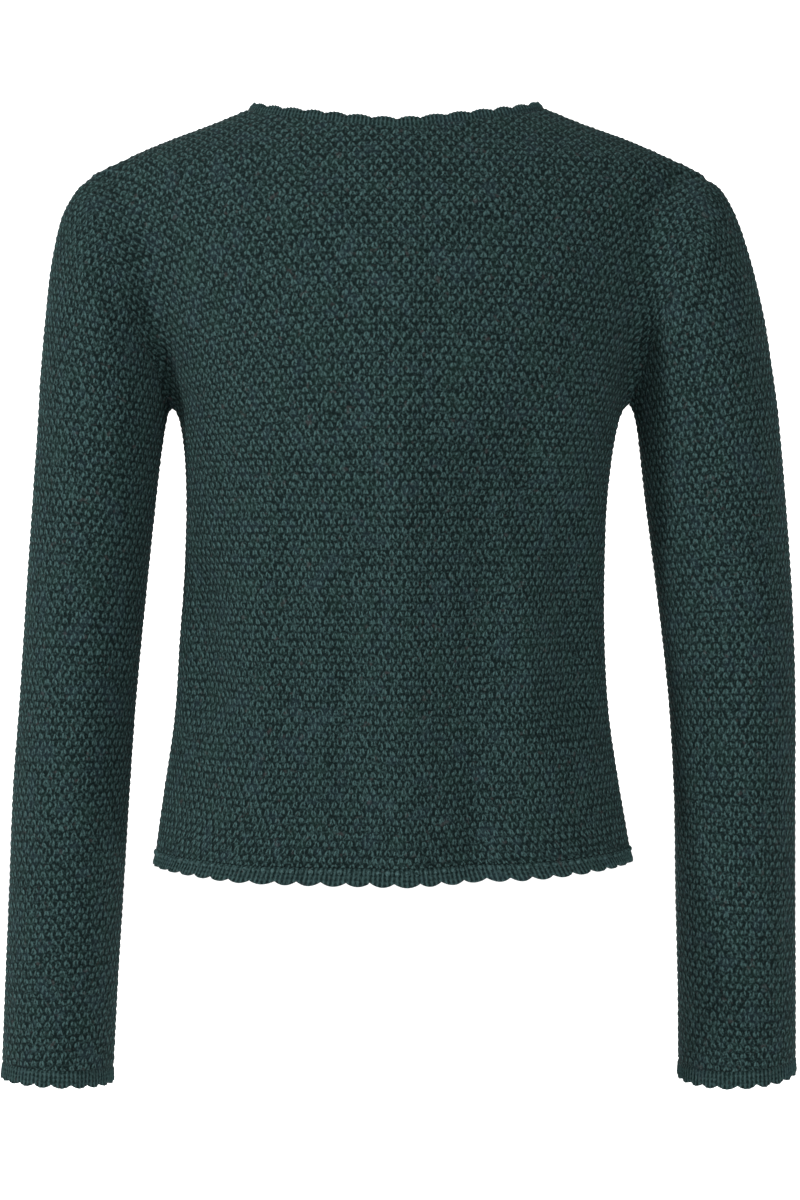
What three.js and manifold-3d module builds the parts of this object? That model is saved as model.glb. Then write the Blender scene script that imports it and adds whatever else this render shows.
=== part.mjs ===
// A knitted trachten cardigan, hollow and filled out as if it were worn, with its arms hanging down.
// Millimetres. +Z is up and the front faces -Y, so +X is the wearer's left. The origin lies midway
// between the two neck ends of the shoulder seams.
// The cloth is a closed wall. A smooth form gives its outer face: a trunk with two arms, each a pile of
// rounded sections, blended where they meet, with the largest folds pressed in. The maker's pieces are
// cut out of that one form, so that they meet at their seams: a back, two fronts, two sleeves, scalloped
// rib edgings, two front bands and the buttons.
import * as THREE from "three";
import { mergeVertices } from "three/addons/utils/BufferGeometryUtils.js";
import Module from "manifold-3d";

// Driving sizes
const WALL = 2.4; // thickness of the knit
const SEAM = 0.36; // gap left between two pieces at a seam
const BLEND = 20; // how far apart trunk and arm still run together, at the armpit and the shoulder
const PIVOT_Z = -104; // level above which the rows of the yoke turn over the shoulder
const HEM_Z = -483.6; // lower edge of the knitted panels, at the side seams
const HEM_DIP = 8; // how much lower the hem hangs at the middle of the back and the front
const HEM_TILT = 1.2; // how much lower the left side seam ends, and how much higher the right one
const CUFF_Z = { left: -627.2, right: -623.4 }; // lower edge of the sleeves' knitted panels
const CUFF_TILT = 1.8; // how much higher a sleeve ends at its outer side, and lower at its inner one
const CUFF_SLANT = { left: 1, right: 5 }; // how much lower it ends at its back, and higher in front
const NECK_HALF_WIDTH = 97; // from the middle to the neck end of the shoulder seam
const NECK_ROUND = 1.5; // squareness of the neckline's curve, where 2 is an ellipse
const BACK_NECK_TILT = 51.2; // degrees above level at which the back neckline is seen from the pivot
const FRONT_NECK_TILT = 15; // the same at the front neckline, which is cut deeper
const BAND_HALF_WIDTH = 11; // the front bands, which lie over each other at the middle of the front
const LEFT_FRONT_START = 15; // where the left front begins, beside the lap of the bands

// The armhole seam lies in a slanting plane through the end of the shoulder seam and the underarm.
const SHOULDER_END = { x: 203, z: -51 };
const UNDERARM_AT = { left: { x: 145.5, z: -200 }, right: { x: 150.5, z: -200 } };

// Half sections of the trunk. left and right are the half widths, back and front the depths from the
// side line, power the squareness of the section (2 is an ellipse).
const TRUNK = table(
  ["z", "left", "right", "back", "front", "power"],
  [
    [-520, 159, 156, 110, 109, 2.3],
    [-491, 156.2, 152.2, 107, 107, 2.3],
    [-448, 150.4, 145, 101, 103, 2.3],
    [-400, 143.5, 138, 94, 99, 2.3],
    [-351, 140.3, 135.2, 90, 100, 2.3],
    [-302, 137, 135.2, 92, 108, 2.3],
    [-253, 135.9, 137.4, 98, 121, 2.25],
    [-204, 139.5, 144.5, 104, 123, 2.2],
    [-181, 147, 151, 105, 117, 2.15],
    [-145, 160, 162, 105, 107, 2.0],
    [-110, 175, 176, 101, 94, 1.85],
    [-80, 186, 186, 94, 84, 1.75],
    [-64, 190, 191, 88, 78, 1.7],
    [-53, 190, 192, 82, 73, 1.65],
    [-44, 185, 188, 79, 70, 1.6],
    [-37.5, 175, 178, 75, 67, 1.6],
    [-31, 161, 164, 70, 63, 1.6],
    [-24, 143.5, 147, 65, 59, 1.6],
    [-15.5, 120.5, 123, 58, 54, 1.65],
    [-4.5, 94, 96, 46, 44, 1.7],
    [7, 66, 67, 30, 30, 1.8],
  ],
);

// Sections of the arms. In and Out are the inner and the outer side, from the middle of the garment;
// depth is the half depth and y the section's centre, forward of the side line lower down.
const ARMS = table(
  ["z", "leftIn", "leftOut", "rightIn", "rightOut", "depth", "y"],
  [
    [-640, 186.5, 259, 185.7, 262.4, 42, -31],
    [-578, 182.8, 256, 184.9, 261.7, 42, -23],
    [-513, 178.5, 252.5, 183, 260.6, 43.5, -16],
    [-448, 174, 249.5, 181.5, 260.1, 45, -10],
    [-383, 169, 244.3, 177.2, 259.6, 47, -5],
    [-318, 162.5, 239.9, 169.7, 257, 49, -2],
    [-253, 155.6, 235.3, 161.4, 252.3, 51, 0],
    [-204, 150.5, 232, 156.4, 248, 53, 0],
    [-181, 150, 230.8, 155, 245, 54, 0],
    [-142, 146, 227.5, 150, 239, 54, 0],
    [-113, 144, 224.5, 147, 232.5, 51, 0],
    [-90, 146, 220.5, 148, 226, 46, 0],
    [-75, 152, 216.5, 153, 220.5, 40, 0],
    [-64, 166, 211, 166, 215, 30, 0],
    [-56, 178, 205, 178, 209, 20, 0],
    [-50, 187, 196.5, 187, 198.5, 8, 0],
  ],
);
const ARM_TOP_Z = -50;

// The largest soft folds of the back, each along a line from (ax, az) to (bx, bz): width is how far it
// spreads to either side, rise how far it stands out, and a negative rise is a trough.
const FOLDS = table(
  ["ax", "az", "bx", "bz", "width", "rise"],
  [
    [3, -95, 3, -480, 17, 1.4], // the middle of the back
    [66, -60, 4, -96, 10, 1.5], // drag lines from the two sides of the neck
    [-92, -42, -14, -96, 10, 1.5],
    [-58, -190, -48, -470, 24, -3], // the broad trough right of the middle
    [-80, -190, -78, -285, 13, -1.8],
    [-49, -440, -49, -486, 9, -1.5],
    [118, -305, 116, -390, 16, -2.4], // the waist, at both sides
    [-112, -246, -112, -390, 20, -2.4],
    [156, -160, 150, -196, 9, -2], // creases at the armpits
    [-162, -150, -156, -205, 11, -2.6],
    [207, -84, 170, -150, 9, 1.6], // drag lines down from the sleeve heads
    [-208, -76, -176, -158, 9, 1.8],
  ],
);

// The scalloped rib edgings. height goes to the tips, pitch is one scallop, deep the cut between two,
// and lean how far the free edge turns out of the cloth's own line, per mm.
const EDGINGS = {
  hem: { height: 12, pitch: 14.8, deep: 3, lean: 0.05 },
  cuff: { height: 12, pitch: 12.5, deep: 2.6, lean: 0.04 },
  neck: { height: 7.4, pitch: 16.5, deep: 1.9, lean: 0 },
};
const SCALLOP_STEPS = 4;
const NECK_RISE = 0.4; // how much the neck edging stands up more than the cloth under it

const BUTTONS = { count: 7, radius: 7.5, height: 3.8, bevel: 0.9, round: 0.7, first: 22, last: 26, sides: 20 };
const BUTTON_HOLES = { radius: 1.9, spread: 2.1, sides: 6 };
const BUTTONHOLE = { length: 15, height: 1 };
const LAP_AIR = 0.5; // between the upper and the lower front band

// Cells across half a trunk panel: under the neck, then beyond it, where they narrow to the armhole.
const BACK_CELLS = { neck: 7, beyond: [3, 3, 2.6, 2, 1.4, 0.8, 0.6] };
const FRONT_CELLS = { neck: 6, beyond: [3, 3, 2.2, 1.5, 0.9, 0.6] };
const SLEEVE_COLUMNS = 20;
const LEVEL_ROWS = [0, 36, 74, 114, 156, 199, 242, 268]; // heights above the hem, up to the armpit
const ARMHOLE_LEVELS = [-190, -179, -165, -149, -129]; // rows of the armhole below the yoke
const YOKE_ROWS = 6;
const SLEEVE_RINGS = 13;

const GREEN = { color: 0x223a3a, roughness: 0.95, metalness: 0 };
const EDGE_GREEN = { color: 0x2b4444, roughness: 0.95, metalness: 0 };
const HORN = { color: 0x4a3a2c, roughness: 0.45, metalness: 0 };

const HALF_SEAM = SEAM / 2;
const SIDES = { back: 1, front: -1 };
const HANDS = { left: 1, right: -1 };
const handOf = (x) => (x >= 0 ? "left" : "right");
const { degToRad } = THREE.MathUtils;

// Rows with named columns; rows that have a z come sorted by it.
function table(columns, rows) {
  const named = rows.map((row) => Object.fromEntries(columns.map((name, i) => [name, row[i]])));
  return named.sort((a, b) => (a.z ?? 0) - (b.z ?? 0));
}

// A smooth curve through one column of a table, read at level z.
function read(rows, column, z) {
  const last = rows.length - 1;
  if (z <= rows[0].z) return rows[0][column];
  if (z >= rows[last].z) return rows[last][column];
  let i = 0;
  while (rows[i + 1].z < z) i++;
  const slope = (k) => {
    const a = rows[Math.max(k - 1, 0)];
    const b = rows[Math.min(k + 1, last)];
    return (b[column] - a[column]) / (b.z - a.z);
  };
  const step = rows[i + 1].z - rows[i].z;
  const t = (z - rows[i].z) / step;
  const t2 = t * t;
  const t3 = t2 * t;
  return (
    rows[i][column] * (2 * t3 - 3 * t2 + 1) +
    slope(i) * step * (t3 - 2 * t2 + t) +
    rows[i + 1][column] * (3 * t2 - 2 * t3) +
    slope(i + 1) * step * (t3 - t2)
  );
}

// How far a level point lies outside a rounded section, along the ray from the section's centre.
function sectionGap(dx, dy, halfX, halfY, power) {
  const reach = Math.hypot(dx, dy);
  if (reach < 1e-6) return -Math.min(halfX, halfY);
  const size = (Math.abs(dx / halfX) ** power + Math.abs(dy / halfY) ** power) ** (1 / power);
  return reach - reach / size;
}

function trunkGap(p) {
  const width = read(TRUNK, handOf(p.x), p.z);
  const depth = read(TRUNK, p.y >= 0 ? "back" : "front", p.z);
  return sectionGap(p.x, p.y, width, depth, read(TRUNK, "power", p.z));
}

function armSection(hand, z) {
  const inner = read(ARMS, hand + "In", z);
  const outer = read(ARMS, hand + "Out", z);
  const centre = new THREE.Vector3(HANDS[hand] * ((inner + outer) / 2), read(ARMS, "y", z), z);
  return { centre, half: (outer - inner) / 2 };
}

function armGap(p) {
  const { centre, half } = armSection(handOf(p.x), p.z);
  const gap = sectionGap(p.x - centre.x, p.y - centre.y, half, read(ARMS, "depth", p.z), 2);
  const above = p.z - ARM_TOP_Z;
  return above > 0 ? Math.hypot(Math.max(gap, 0), above) : gap;
}

// How far the folds raise the cloth of the back; they fade out towards the side line.
function foldRise(p) {
  if (p.y <= 0) return 0;
  let rise = 0;
  for (const fold of FOLDS) {
    const alongX = fold.bx - fold.ax;
    const alongZ = fold.bz - fold.az;
    const t = ((p.x - fold.ax) * alongX + (p.z - fold.az) * alongZ) / (alongX ** 2 + alongZ ** 2);
    const near = Math.min(Math.max(t, 0), 1);
    const off = Math.hypot(p.x - fold.ax - alongX * near, p.z - fold.az - alongZ * near);
    rise += fold.rise * Math.exp(-((off / fold.width) ** 2));
  }
  return rise * THREE.MathUtils.smoothstep(p.y, 0, 40);
}

// The garment's outer face is where this is zero; it is negative inside.
function form(p) {
  const trunk = trunkGap(p);
  const arm = armGap(p);
  const near = Math.max(BLEND - Math.abs(trunk - arm), 0) / BLEND;
  return Math.min(trunk, arm) - (near * near * BLEND) / 4 - foldRise(p);
}

// The way out of the cloth at a point of the outer face.
function outward(p) {
  const h = 0.5;
  const along = (axis) => {
    const a = p.clone();
    const b = p.clone();
    a[axis] += h;
    b[axis] -= h;
    return form(a) - form(b);
  };
  return new THREE.Vector3(along("x"), along("y"), along("z")).normalize();
}

// Where a ray from inside the form leaves it, or the point at its furthest reach if it doesn't.
function hit(origin, direction, furthest) {
  const at = (r) => origin.clone().addScaledVector(direction, r);
  const stride = 4;
  let low = 0;
  while (low + stride < furthest && form(at(low + stride)) < 0) low += stride;
  let high = Math.min(low + stride, furthest);
  if (form(at(high)) < 0) return { point: at(furthest), out: false };
  for (let i = 0; i < 26; i++) {
    const middle = (low + high) / 2;
    if (form(at(middle)) < 0) low = middle;
    else high = middle;
  }
  return { point: at((low + high) / 2), out: true };
}

// Halves an interval whose low end passes a test and whose high end doesn't.
function boundary(low, high, passes) {
  for (let i = 0; i < 30; i++) {
    const middle = (low + high) / 2;
    if (passes(middle)) low = middle;
    else high = middle;
  }
  return (low + high) / 2;
}

// The armhole seam's plane: how far from the middle it lies at level z, and its normal towards the arm.
function armholeX(hand, z) {
  const foot = UNDERARM_AT[hand];
  return foot.x + ((z - foot.z) * (SHOULDER_END.x - foot.x)) / (SHOULDER_END.z - foot.z);
}
function armholeNormal(hand) {
  const foot = UNDERARM_AT[hand];
  const rise = SHOULDER_END.z - foot.z;
  const run = SHOULDER_END.x - foot.x;
  return new THREE.Vector3(HANDS[hand] * rise, 0, -run).normalize();
}

// Halfway between the trunk and the arm, below the armpit.
function betweenX(hand, z) {
  return (read(TRUNK, hand, z) + read(ARMS, hand + "In", z)) / 2;
}

// The underarm point, where the armhole plane leaves the form between trunk and arm.
function underarm(hand) {
  const at = (z) => new THREE.Vector3(HANDS[hand] * armholeX(hand, z), 0, z);
  return at(boundary(-150, -212, (z) => form(at(z)) < 0));
}
const UNDERARM = { left: underarm("left"), right: underarm("right") };

// The point at a share of the length of a line of points.
function alongPoints(points) {
  const lengths = [0];
  for (let i = 1; i < points.length; i++) {
    lengths.push(lengths[i - 1] + points[i].distanceTo(points[i - 1]));
  }
  const total = lengths[lengths.length - 1];
  return (share) => {
    const wanted = share * total;
    let i = 1;
    while (i < points.length - 1 && lengths[i] < wanted) i++;
    const t = (wanted - lengths[i - 1]) / (lengths[i] - lengths[i - 1] || 1);
    return points[i - 1].clone().lerp(points[i], t);
  };
}

// One row of the trunk below the armhole, from the middle line outward: at(share) is the point at that
// share of its width. It is cut by a level plane, and sinks towards the middle near the hem.
function sideRow(side, hand, z, end) {
  const origin = new THREE.Vector3(0, 0, z);
  const ray = (angle) => {
    const across = Math.max(Math.sin(angle), 1e-3);
    const direction = new THREE.Vector3(HANDS[hand] * Math.sin(angle), SIDES[side] * Math.cos(angle), 0);
    return hit(origin, direction, Math.min(betweenX(hand, z) / across, 400)).point;
  };
  const depth = ray(0).y;
  const nearHem = Math.max(0, (-250 - z) / (-250 - HEM_Z));
  const count = 90;
  const points = [];
  for (let i = 0; i <= count; i++) {
    const p = ray((Math.PI * i) / (2 * count));
    p.z -= nearHem * (HEM_DIP * (p.y / depth) ** 2 + (HEM_TILT * p.x) / 155);
    points.push(p);
  }
  if (end) points[count] = end.clone();
  return alongPoints(points);
}

// One level row of the trunk between the underarm and the yoke, which ends at the armhole.
function armholeRow(side, hand, z) {
  const edge = armholeX(hand, z);
  const direction = new THREE.Vector3(0, SIDES[side], 0);
  const count = 120;
  const points = [];
  for (let i = 0; i <= count; i++) {
    const x = HANDS[hand] * edge * Math.sin((Math.PI * i) / (2 * count));
    points.push(hit(new THREE.Vector3(x, 0, z), direction, 300).point);
  }
  return alongPoints(points);
}

// The widths of the rows of the yoke are shared out so that one share always falls on the neck end of
// the shoulder seam.
const NECK_SHARE = NECK_HALF_WIDTH / SHOULDER_END.x;

// A yoke row is cut by a plane that turns about a line across the shoulders; lift is 0 at the level
// rows and 1 at the neckline and the shoulder seam.
function yokeRow(side, hand, lift) {
  const neckTilt = side === "back" ? BACK_NECK_TILT : FRONT_NECK_TILT;
  const tilt = (x) => {
    const inNeck = Math.sqrt(Math.max(0, 1 - (x / NECK_HALF_WIDTH) ** NECK_ROUND));
    return degToRad(90 - (90 - neckTilt) * inNeck) * lift;
  };
  const at = (x) => {
    const direction = new THREE.Vector3(0, SIDES[side] * Math.cos(tilt(x)), Math.sin(tilt(x)));
    return hit(new THREE.Vector3(HANDS[hand] * x, 0, PIVOT_Z), direction, 300).point;
  };
  const edge = boundary(120, 215, (x) => x < armholeX(hand, at(x).z));
  return (share) =>
    at(
      share <= NECK_SHARE
        ? (share / NECK_SHARE) * NECK_HALF_WIDTH
        : NECK_HALF_WIDTH + ((share - NECK_SHARE) / (1 - NECK_SHARE)) * (edge - NECK_HALF_WIDTH),
    );
}

// All rows of one side and hand, from the hem up to the shoulder seam and the neckline.
function trunkRows(side, hand) {
  const rows = LEVEL_ROWS.map((height) => sideRow(side, hand, HEM_Z + height));
  rows.push(sideRow(side, hand, UNDERARM[hand].z - 0.01, UNDERARM[hand]));
  for (const z of ARMHOLE_LEVELS) rows.push(armholeRow(side, hand, z));
  for (let i = 0; i <= YOKE_ROWS; i++) rows.push(yokeRow(side, hand, i / YOKE_ROWS));
  return rows;
}
const UNDERARM_ROW = LEVEL_ROWS.length;
const TOP_ROW = UNDERARM_ROW + ARMHOLE_LEVELS.length + YOKE_ROWS + 1;
const ROWS = {};
for (const side of Object.keys(SIDES)) {
  ROWS[side] = {};
  for (const hand of Object.keys(HANDS)) ROWS[side][hand] = trunkRows(side, hand);
}

// The shares of a row's width at the columns, from a start, with one on the neck end of the shoulder,
// before which they bunch up because the neckline turns there.
function columnShares(start, { neck, beyond }) {
  const bunched = (i) => Math.sin((Math.PI * i) / (2 * neck));
  const shares = Array.from({ length: neck + 1 }, (_, i) => start + (NECK_SHARE - start) * bunched(i));
  const whole = beyond.reduce((sum, width) => sum + width);
  let run = 0;
  for (const width of beyond) {
    run += width;
    shares.push(NECK_SHARE + ((1 - NECK_SHARE) * run) / whole);
  }
  return shares;
}

// A station is a point of the outer face with the way out of the cloth there.
function station(point) {
  return { point, out: outward(point) };
}

// The stations of half a trunk panel, which starts at x from the middle line.
function trunkGrid(side, hand, startX, cells) {
  return ROWS[side][hand].map((at) => {
    const start = startX ? boundary(0, 0.4, (share) => Math.abs(at(share).x) < startX) : 0;
    return columnShares(start, cells).map((share) => station(at(share)));
  });
}
const GRIDS = {
  back: {
    left: trunkGrid("back", "left", 0, BACK_CELLS),
    right: trunkGrid("back", "right", 0, BACK_CELLS),
  },
  front: {
    left: trunkGrid("front", "left", LEFT_FRONT_START, FRONT_CELLS),
    right: trunkGrid("front", "right", BAND_HALF_WIDTH + SEAM, FRONT_CELLS),
  },
};

// A copy of a half panel whose rim is moved back from its seams by half the seam gap.
function setBack(side, hand) {
  const grid = GRIDS[side][hand].map((row) => row.map((s) => ({ ...s, point: s.point.clone() })));
  const last = grid[0].length - 1;
  const sideways = new THREE.Vector3(0, SIDES[side] * HALF_SEAM, 0);
  const inward = armholeNormal(hand).multiplyScalar(-HALF_SEAM);
  const inNeck = grid[TOP_ROW].findIndex((s) => Math.abs(s.point.x) > NECK_HALF_WIDTH - 0.5);
  const shift = (s, by) => s.point.add(by);
  const toward = (a, b) => b.point.clone().sub(a.point).setLength(HALF_SEAM);
  const downs = grid[TOP_ROW].map((s, j) => toward(s, grid[TOP_ROW - 1][j]));
  const ups = grid[0].map((s, j) => toward(s, grid[1][j]));
  grid[0].forEach((s, j) => shift(s, ups[j]));
  grid[TOP_ROW].forEach((s, j) => shift(s, j >= inNeck ? sideways : downs[j]));
  grid.forEach((row, i) => {
    if (i <= UNDERARM_ROW) shift(row[last], sideways);
    if (i >= UNDERARM_ROW) shift(row[last], inward);
  });
  return grid;
}

// Builds a wall from stations: outer face, inner face and the edges. grid[row][column] runs so that
// (next column) x (next row) points out of the cloth. From the row ringFrom on, the last column runs on
// into the first. downward says that the rows run down, so that two pieces split their edges alike.
function wall(grid, { ringFrom = Infinity, downward = false } = {}) {
  const positions = [];
  const add = (p) => positions.push(p.x, p.y, p.z) / 3 - 1;
  const outer = grid.map((row) => row.map((s) => add(s.point)));
  const inner = grid.map((row) => row.map((s) => add(s.point.clone().addScaledVector(s.out, -WALL))));
  const faces = [];
  const quad = (a, b, c, d) => faces.push(a, b, c, a, c, d);
  const gap = (s, t) => s.point.distanceToSquared(t.point);
  const top = grid.length - 1;
  const end = grid[0].length - 1;
  for (let i = 0; i < top; i++) {
    for (let j = 0; j < end; j++) {
      const corners = [[i, j], [i, j + 1], [i + 1, j + 1], [i + 1, j]];
      const [a, b, c, d] = corners.map(([row, column]) => grid[row][column]);
      if (gap(a, c) > gap(b, d)) corners.push(corners.shift());
      quad(...corners.map(([row, column]) => outer[row][column]));
      corners.splice(1, 3, corners[3], corners[2], corners[1]);
      quad(...corners.map(([row, column]) => inner[row][column]));
    }
    if (i < ringFrom && downward) {
      quad(outer[i + 1][0], inner[i + 1][0], inner[i][0], outer[i][0]);
      quad(outer[i + 1][end], outer[i][end], inner[i][end], inner[i + 1][end]);
    } else if (i < ringFrom) {
      quad(outer[i][0], outer[i + 1][0], inner[i + 1][0], inner[i][0]);
      quad(outer[i][end], inner[i][end], inner[i + 1][end], outer[i + 1][end]);
    }
  }
  for (let j = 0; j < end; j++) {
    quad(inner[0][j], inner[0][j + 1], outer[0][j + 1], outer[0][j]);
    quad(outer[top][j], outer[top][j + 1], inner[top][j + 1], inner[top][j]);
  }
  return closed(positions, faces);
}

// Merges equal vertices and drops the faces that this leaves without an area.
function closed(positions, faces) {
  const loose = new THREE.BufferGeometry();
  loose.setAttribute("position", new THREE.Float32BufferAttribute(positions, 3));
  loose.setIndex(faces);
  const merged = mergeVertices(loose, 1e-3);
  const index = merged.index.array;
  const kept = [];
  for (let i = 0; i < index.length; i += 3) {
    const [a, b, c] = [index[i], index[i + 1], index[i + 2]];
    if (a !== b && b !== c && c !== a) kept.push(a, b, c);
  }
  merged.setIndex(kept);
  merged.computeVertexNormals();
  return merged;
}

// Turns a grid so that its faces point out.
const mirrored = (grid) => grid.map((row) => row.slice().reverse());

function backPanel() {
  const left = setBack("back", "left");
  const right = setBack("back", "right");
  return wall(left.map((row, i) => [...row.slice().reverse(), ...right[i].slice(1)]));
}

function frontPanel(hand) {
  const grid = setBack("front", hand);
  return wall(hand === "left" ? grid : mirrored(grid));
}

// A sleeve: rows from the end of the shoulder seam over the sleeve head, each spanning from the back
// edge of the armhole to its front edge, then rings down to the cuff, which start at the underarm side.
function sleeveGrid(hand) {
  const away = new THREE.Vector3(HANDS[hand], 0, 0);
  const shares = Array.from({ length: SLEEVE_COLUMNS + 1 }, (_, i) => i / SLEEVE_COLUMNS);
  const count = 80;
  const rows = [];
  const last = (side, i) => GRIDS[side][hand][i].at(-1).point;
  const tip = last("back", TOP_ROW);
  rows.push(shares.map(() => station(tip.clone())));
  for (let i = TOP_ROW - 1; i > UNDERARM_ROW; i--) {
    const back = last("back", i);
    const front = last("front", i);
    const middle = back.clone().add(front).multiplyScalar(0.5);
    const toBack = back.clone().sub(middle).normalize();
    const points = [];
    for (let k = 0; k <= count; k++) {
      const angle = (Math.PI * k) / count;
      const direction = toBack.clone().multiplyScalar(Math.cos(angle));
      direction.addScaledVector(away, Math.sin(angle)).normalize();
      points.push(hit(middle, direction, 300).point);
    }
    points[0] = back.clone();
    points[count] = front.clone();
    const at = alongPoints(points);
    rows.push(shares.map((share) => station(at(share))));
  }
  const top = UNDERARM[hand].z;
  for (let i = 0; i <= SLEEVE_RINGS; i++) {
    const z = top + ((CUFF_Z[hand] - top) * i) / SLEEVE_RINGS;
    const { centre, half } = armSection(hand, z);
    const low = Math.max(0, (-400 - z) / (-400 - CUFF_Z[hand]));
    const points = [];
    for (let k = 0; k <= count; k++) {
      const angle = (2 * Math.PI * k) / count;
      const direction = new THREE.Vector3(-HANDS[hand] * Math.cos(angle), Math.sin(angle), 0);
      const reach = (Math.abs(centre.x) - betweenX(hand, z)) / Math.max(Math.cos(angle), 1e-3);
      const p = hit(centre, direction, Math.min(reach, 400)).point;
      p.z += (low * CUFF_TILT * HANDS[hand] * (p.x - centre.x)) / half;
      p.z -= (low * CUFF_SLANT[hand] * (p.y - centre.y)) / half;
      points.push(p);
    }
    if (i === 0) {
      points[0] = UNDERARM[hand].clone();
      points[count] = UNDERARM[hand].clone();
    } else points[count] = points[0].clone();
    const at = alongPoints(points);
    rows.push(shares.map((share) => station(at(share))));
  }
  return rows;
}
const SLEEVES = { left: sleeveGrid("left"), right: sleeveGrid("right") };
const FIRST_RING = TOP_ROW - UNDERARM_ROW;

function sleeve(hand) {
  const grid = SLEEVES[hand].map((row) => row.map((s) => ({ ...s, point: s.point.clone() })));
  const outward = armholeNormal(hand).multiplyScalar(HALF_SEAM);
  const end = grid.length - 1;
  const ups = grid[end].map((s, j) => grid[end - 1][j].point.clone().sub(s.point).setLength(HALF_SEAM));
  grid[end].forEach((s, j) => s.point.add(ups[j]));
  grid[0].forEach((s) => s.point.add(outward));
  for (let i = 1; i <= FIRST_RING; i++) {
    grid[i][0].point.add(outward);
    grid[i].at(-1).point.add(outward);
  }
  return wall(hand === "left" ? grid : mirrored(grid), { ringFrom: FIRST_RING, downward: true });
}

// Places stations along a line of them, at equal distances.
function spread(line, cells) {
  const lengths = [0];
  for (let i = 1; i < line.length; i++) {
    lengths.push(lengths[i - 1] + line[i].point.distanceTo(line[i - 1].point));
  }
  const total = lengths.at(-1);
  return Array.from({ length: cells + 1 }, (_, k) => {
    const wanted = (total * k) / cells;
    let i = 1;
    while (i < line.length - 1 && lengths[i] < wanted) i++;
    const t = (wanted - lengths[i - 1]) / (lengths[i] - lengths[i - 1]);
    const mix = (name) => line[i - 1][name].clone().lerp(line[i][name], t);
    return { point: mix("point"), out: mix("out"), grow: mix("grow") };
  });
}

function lengthOf(line) {
  return line.slice(1).reduce((sum, s, i) => sum + s.point.distanceTo(line[i].point), 0);
}

// An edging: a strip that grows from a line of stations, with a scalloped free edge.
function edgingGrid(line, { height, pitch, deep, lean }) {
  const scallops = Math.round(lengthOf(line) / pitch);
  const foot = [];
  const tips = [];
  spread(line, scallops * SCALLOP_STEPS).forEach(({ point, out, grow }, k) => {
    const along = grow.normalize().addScaledVector(out, lean).normalize();
    const across = out.clone().addScaledVector(along, -out.dot(along)).normalize();
    const fullness = Math.sin((Math.PI * (k % SCALLOP_STEPS)) / SCALLOP_STEPS);
    const reach = height - deep * (1 - fullness);
    const at = (r) => ({ point: point.clone().addScaledVector(along, r), out: across });
    foot.push(at(HALF_SEAM));
    tips.push(at(reach));
  });
  return [foot, tips];
}

// Stations of a panel's rim with the direction in which an edging grows on.
function rim(row, inner, rise = 0) {
  return row.map((s, j) => {
    const grow = s.point.clone().sub(inner[j].point).normalize();
    grow.z += rise;
    return { point: s.point, out: s.out, grow: grow.normalize() };
  });
}

// The neckline's stations: the edging grows at right angles to it, in the cloth, and stands up more.
// Beside the front bands it grows straight up along them.
function necklineRim(side, hand) {
  const grid = GRIDS[side][hand];
  const row = grid[TOP_ROW].filter((s) => Math.abs(s.point.x) < NECK_HALF_WIDTH + 0.5);
  const turn = -SIDES[side] * HANDS[hand];
  return row.map((s, j) => {
    const before = row[Math.max(j - 1, 0)].point;
    const after = row[Math.min(j + 1, row.length - 1)].point;
    const line = after.clone().sub(before);
    if (j === row.length - 1) line.set(0, -SIDES[side], 0).addScaledVector(s.out, s.out.y * SIDES[side]);
    const grow = s.out.clone().cross(line).multiplyScalar(turn).normalize();
    grow.x *= side === "front" ? THREE.MathUtils.smoothstep(Math.abs(s.point.x), 16, 45) : 1;
    grow.z += NECK_RISE;
    return { point: s.point, out: s.out, grow: grow.normalize() };
  });
}

function hemLine() {
  const part = (side, hand) => rim(GRIDS[side][hand][0], GRIDS[side][hand][1]);
  return [
    ...part("front", "left"),
    ...part("back", "left").reverse().slice(1),
    ...part("back", "right").slice(1),
    ...part("front", "right").reverse().slice(1),
  ];
}

function neckLine() {
  return [
    ...necklineRim("front", "left"),
    ...necklineRim("back", "left").reverse().slice(1),
    ...necklineRim("back", "right").slice(1),
    ...necklineRim("front", "right").reverse().slice(1),
  ];
}

// The hem edging hangs down and the neck edging stands up, so their grids run in opposite ways.
const hemEdging = () => wall(mirrored(edgingGrid(hemLine(), EDGINGS.hem)));
const neckEdging = () => wall(edgingGrid(neckLine(), EDGINGS.neck));

function cuffEdging(hand) {
  const rows = SLEEVES[hand];
  const grid = edgingGrid(rim(rows.at(-1), rows.at(-2)), EDGINGS.cuff);
  for (const row of grid) row[row.length - 1] = row[0];
  return wall(hand === "left" ? grid : mirrored(grid), { ringFrom: 0 });
}

// A front band's stations at the given x, sunk by depth, from the hem edging's tips to the neck
// edging's.
function bandColumn(x, depth) {
  const hand = handOf(x);
  const rows = ROWS.front[hand].map((at) =>
    station(at(boundary(0, 0.4, (share) => Math.abs(at(share).x) < Math.abs(x)))),
  );
  const onward = (a, b, length) => ({
    point: a.point.clone().add(a.point.clone().sub(b.point).setLength(length)),
    out: a.out,
  });
  const foot = onward(rows[0], rows[1], EDGINGS.hem.height);
  const top = onward(rows.at(-1), rows.at(-2), EDGINGS.neck.height);
  return [foot, ...rows, top].map(({ point, out }) => ({
    point: point.clone().addScaledVector(out, -depth),
    out,
  }));
}

function band(columns) {
  const stations = columns.map(({ x, depth }) => bandColumn(x, depth));
  return wall(stations[0].map((_, i) => stations.map((column) => column[i])));
}

const lowerBand = () =>
  band([
    { x: 0.5 - BAND_HALF_WIDTH, depth: WALL + LAP_AIR },
    { x: 0, depth: WALL + LAP_AIR },
    { x: BAND_HALF_WIDTH + 0.4, depth: WALL + LAP_AIR },
    { x: LEFT_FRONT_START - SEAM, depth: 0 },
  ]);

// Library that joins and cuts closed meshes
const wasm = await Module();
wasm.setup();

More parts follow.
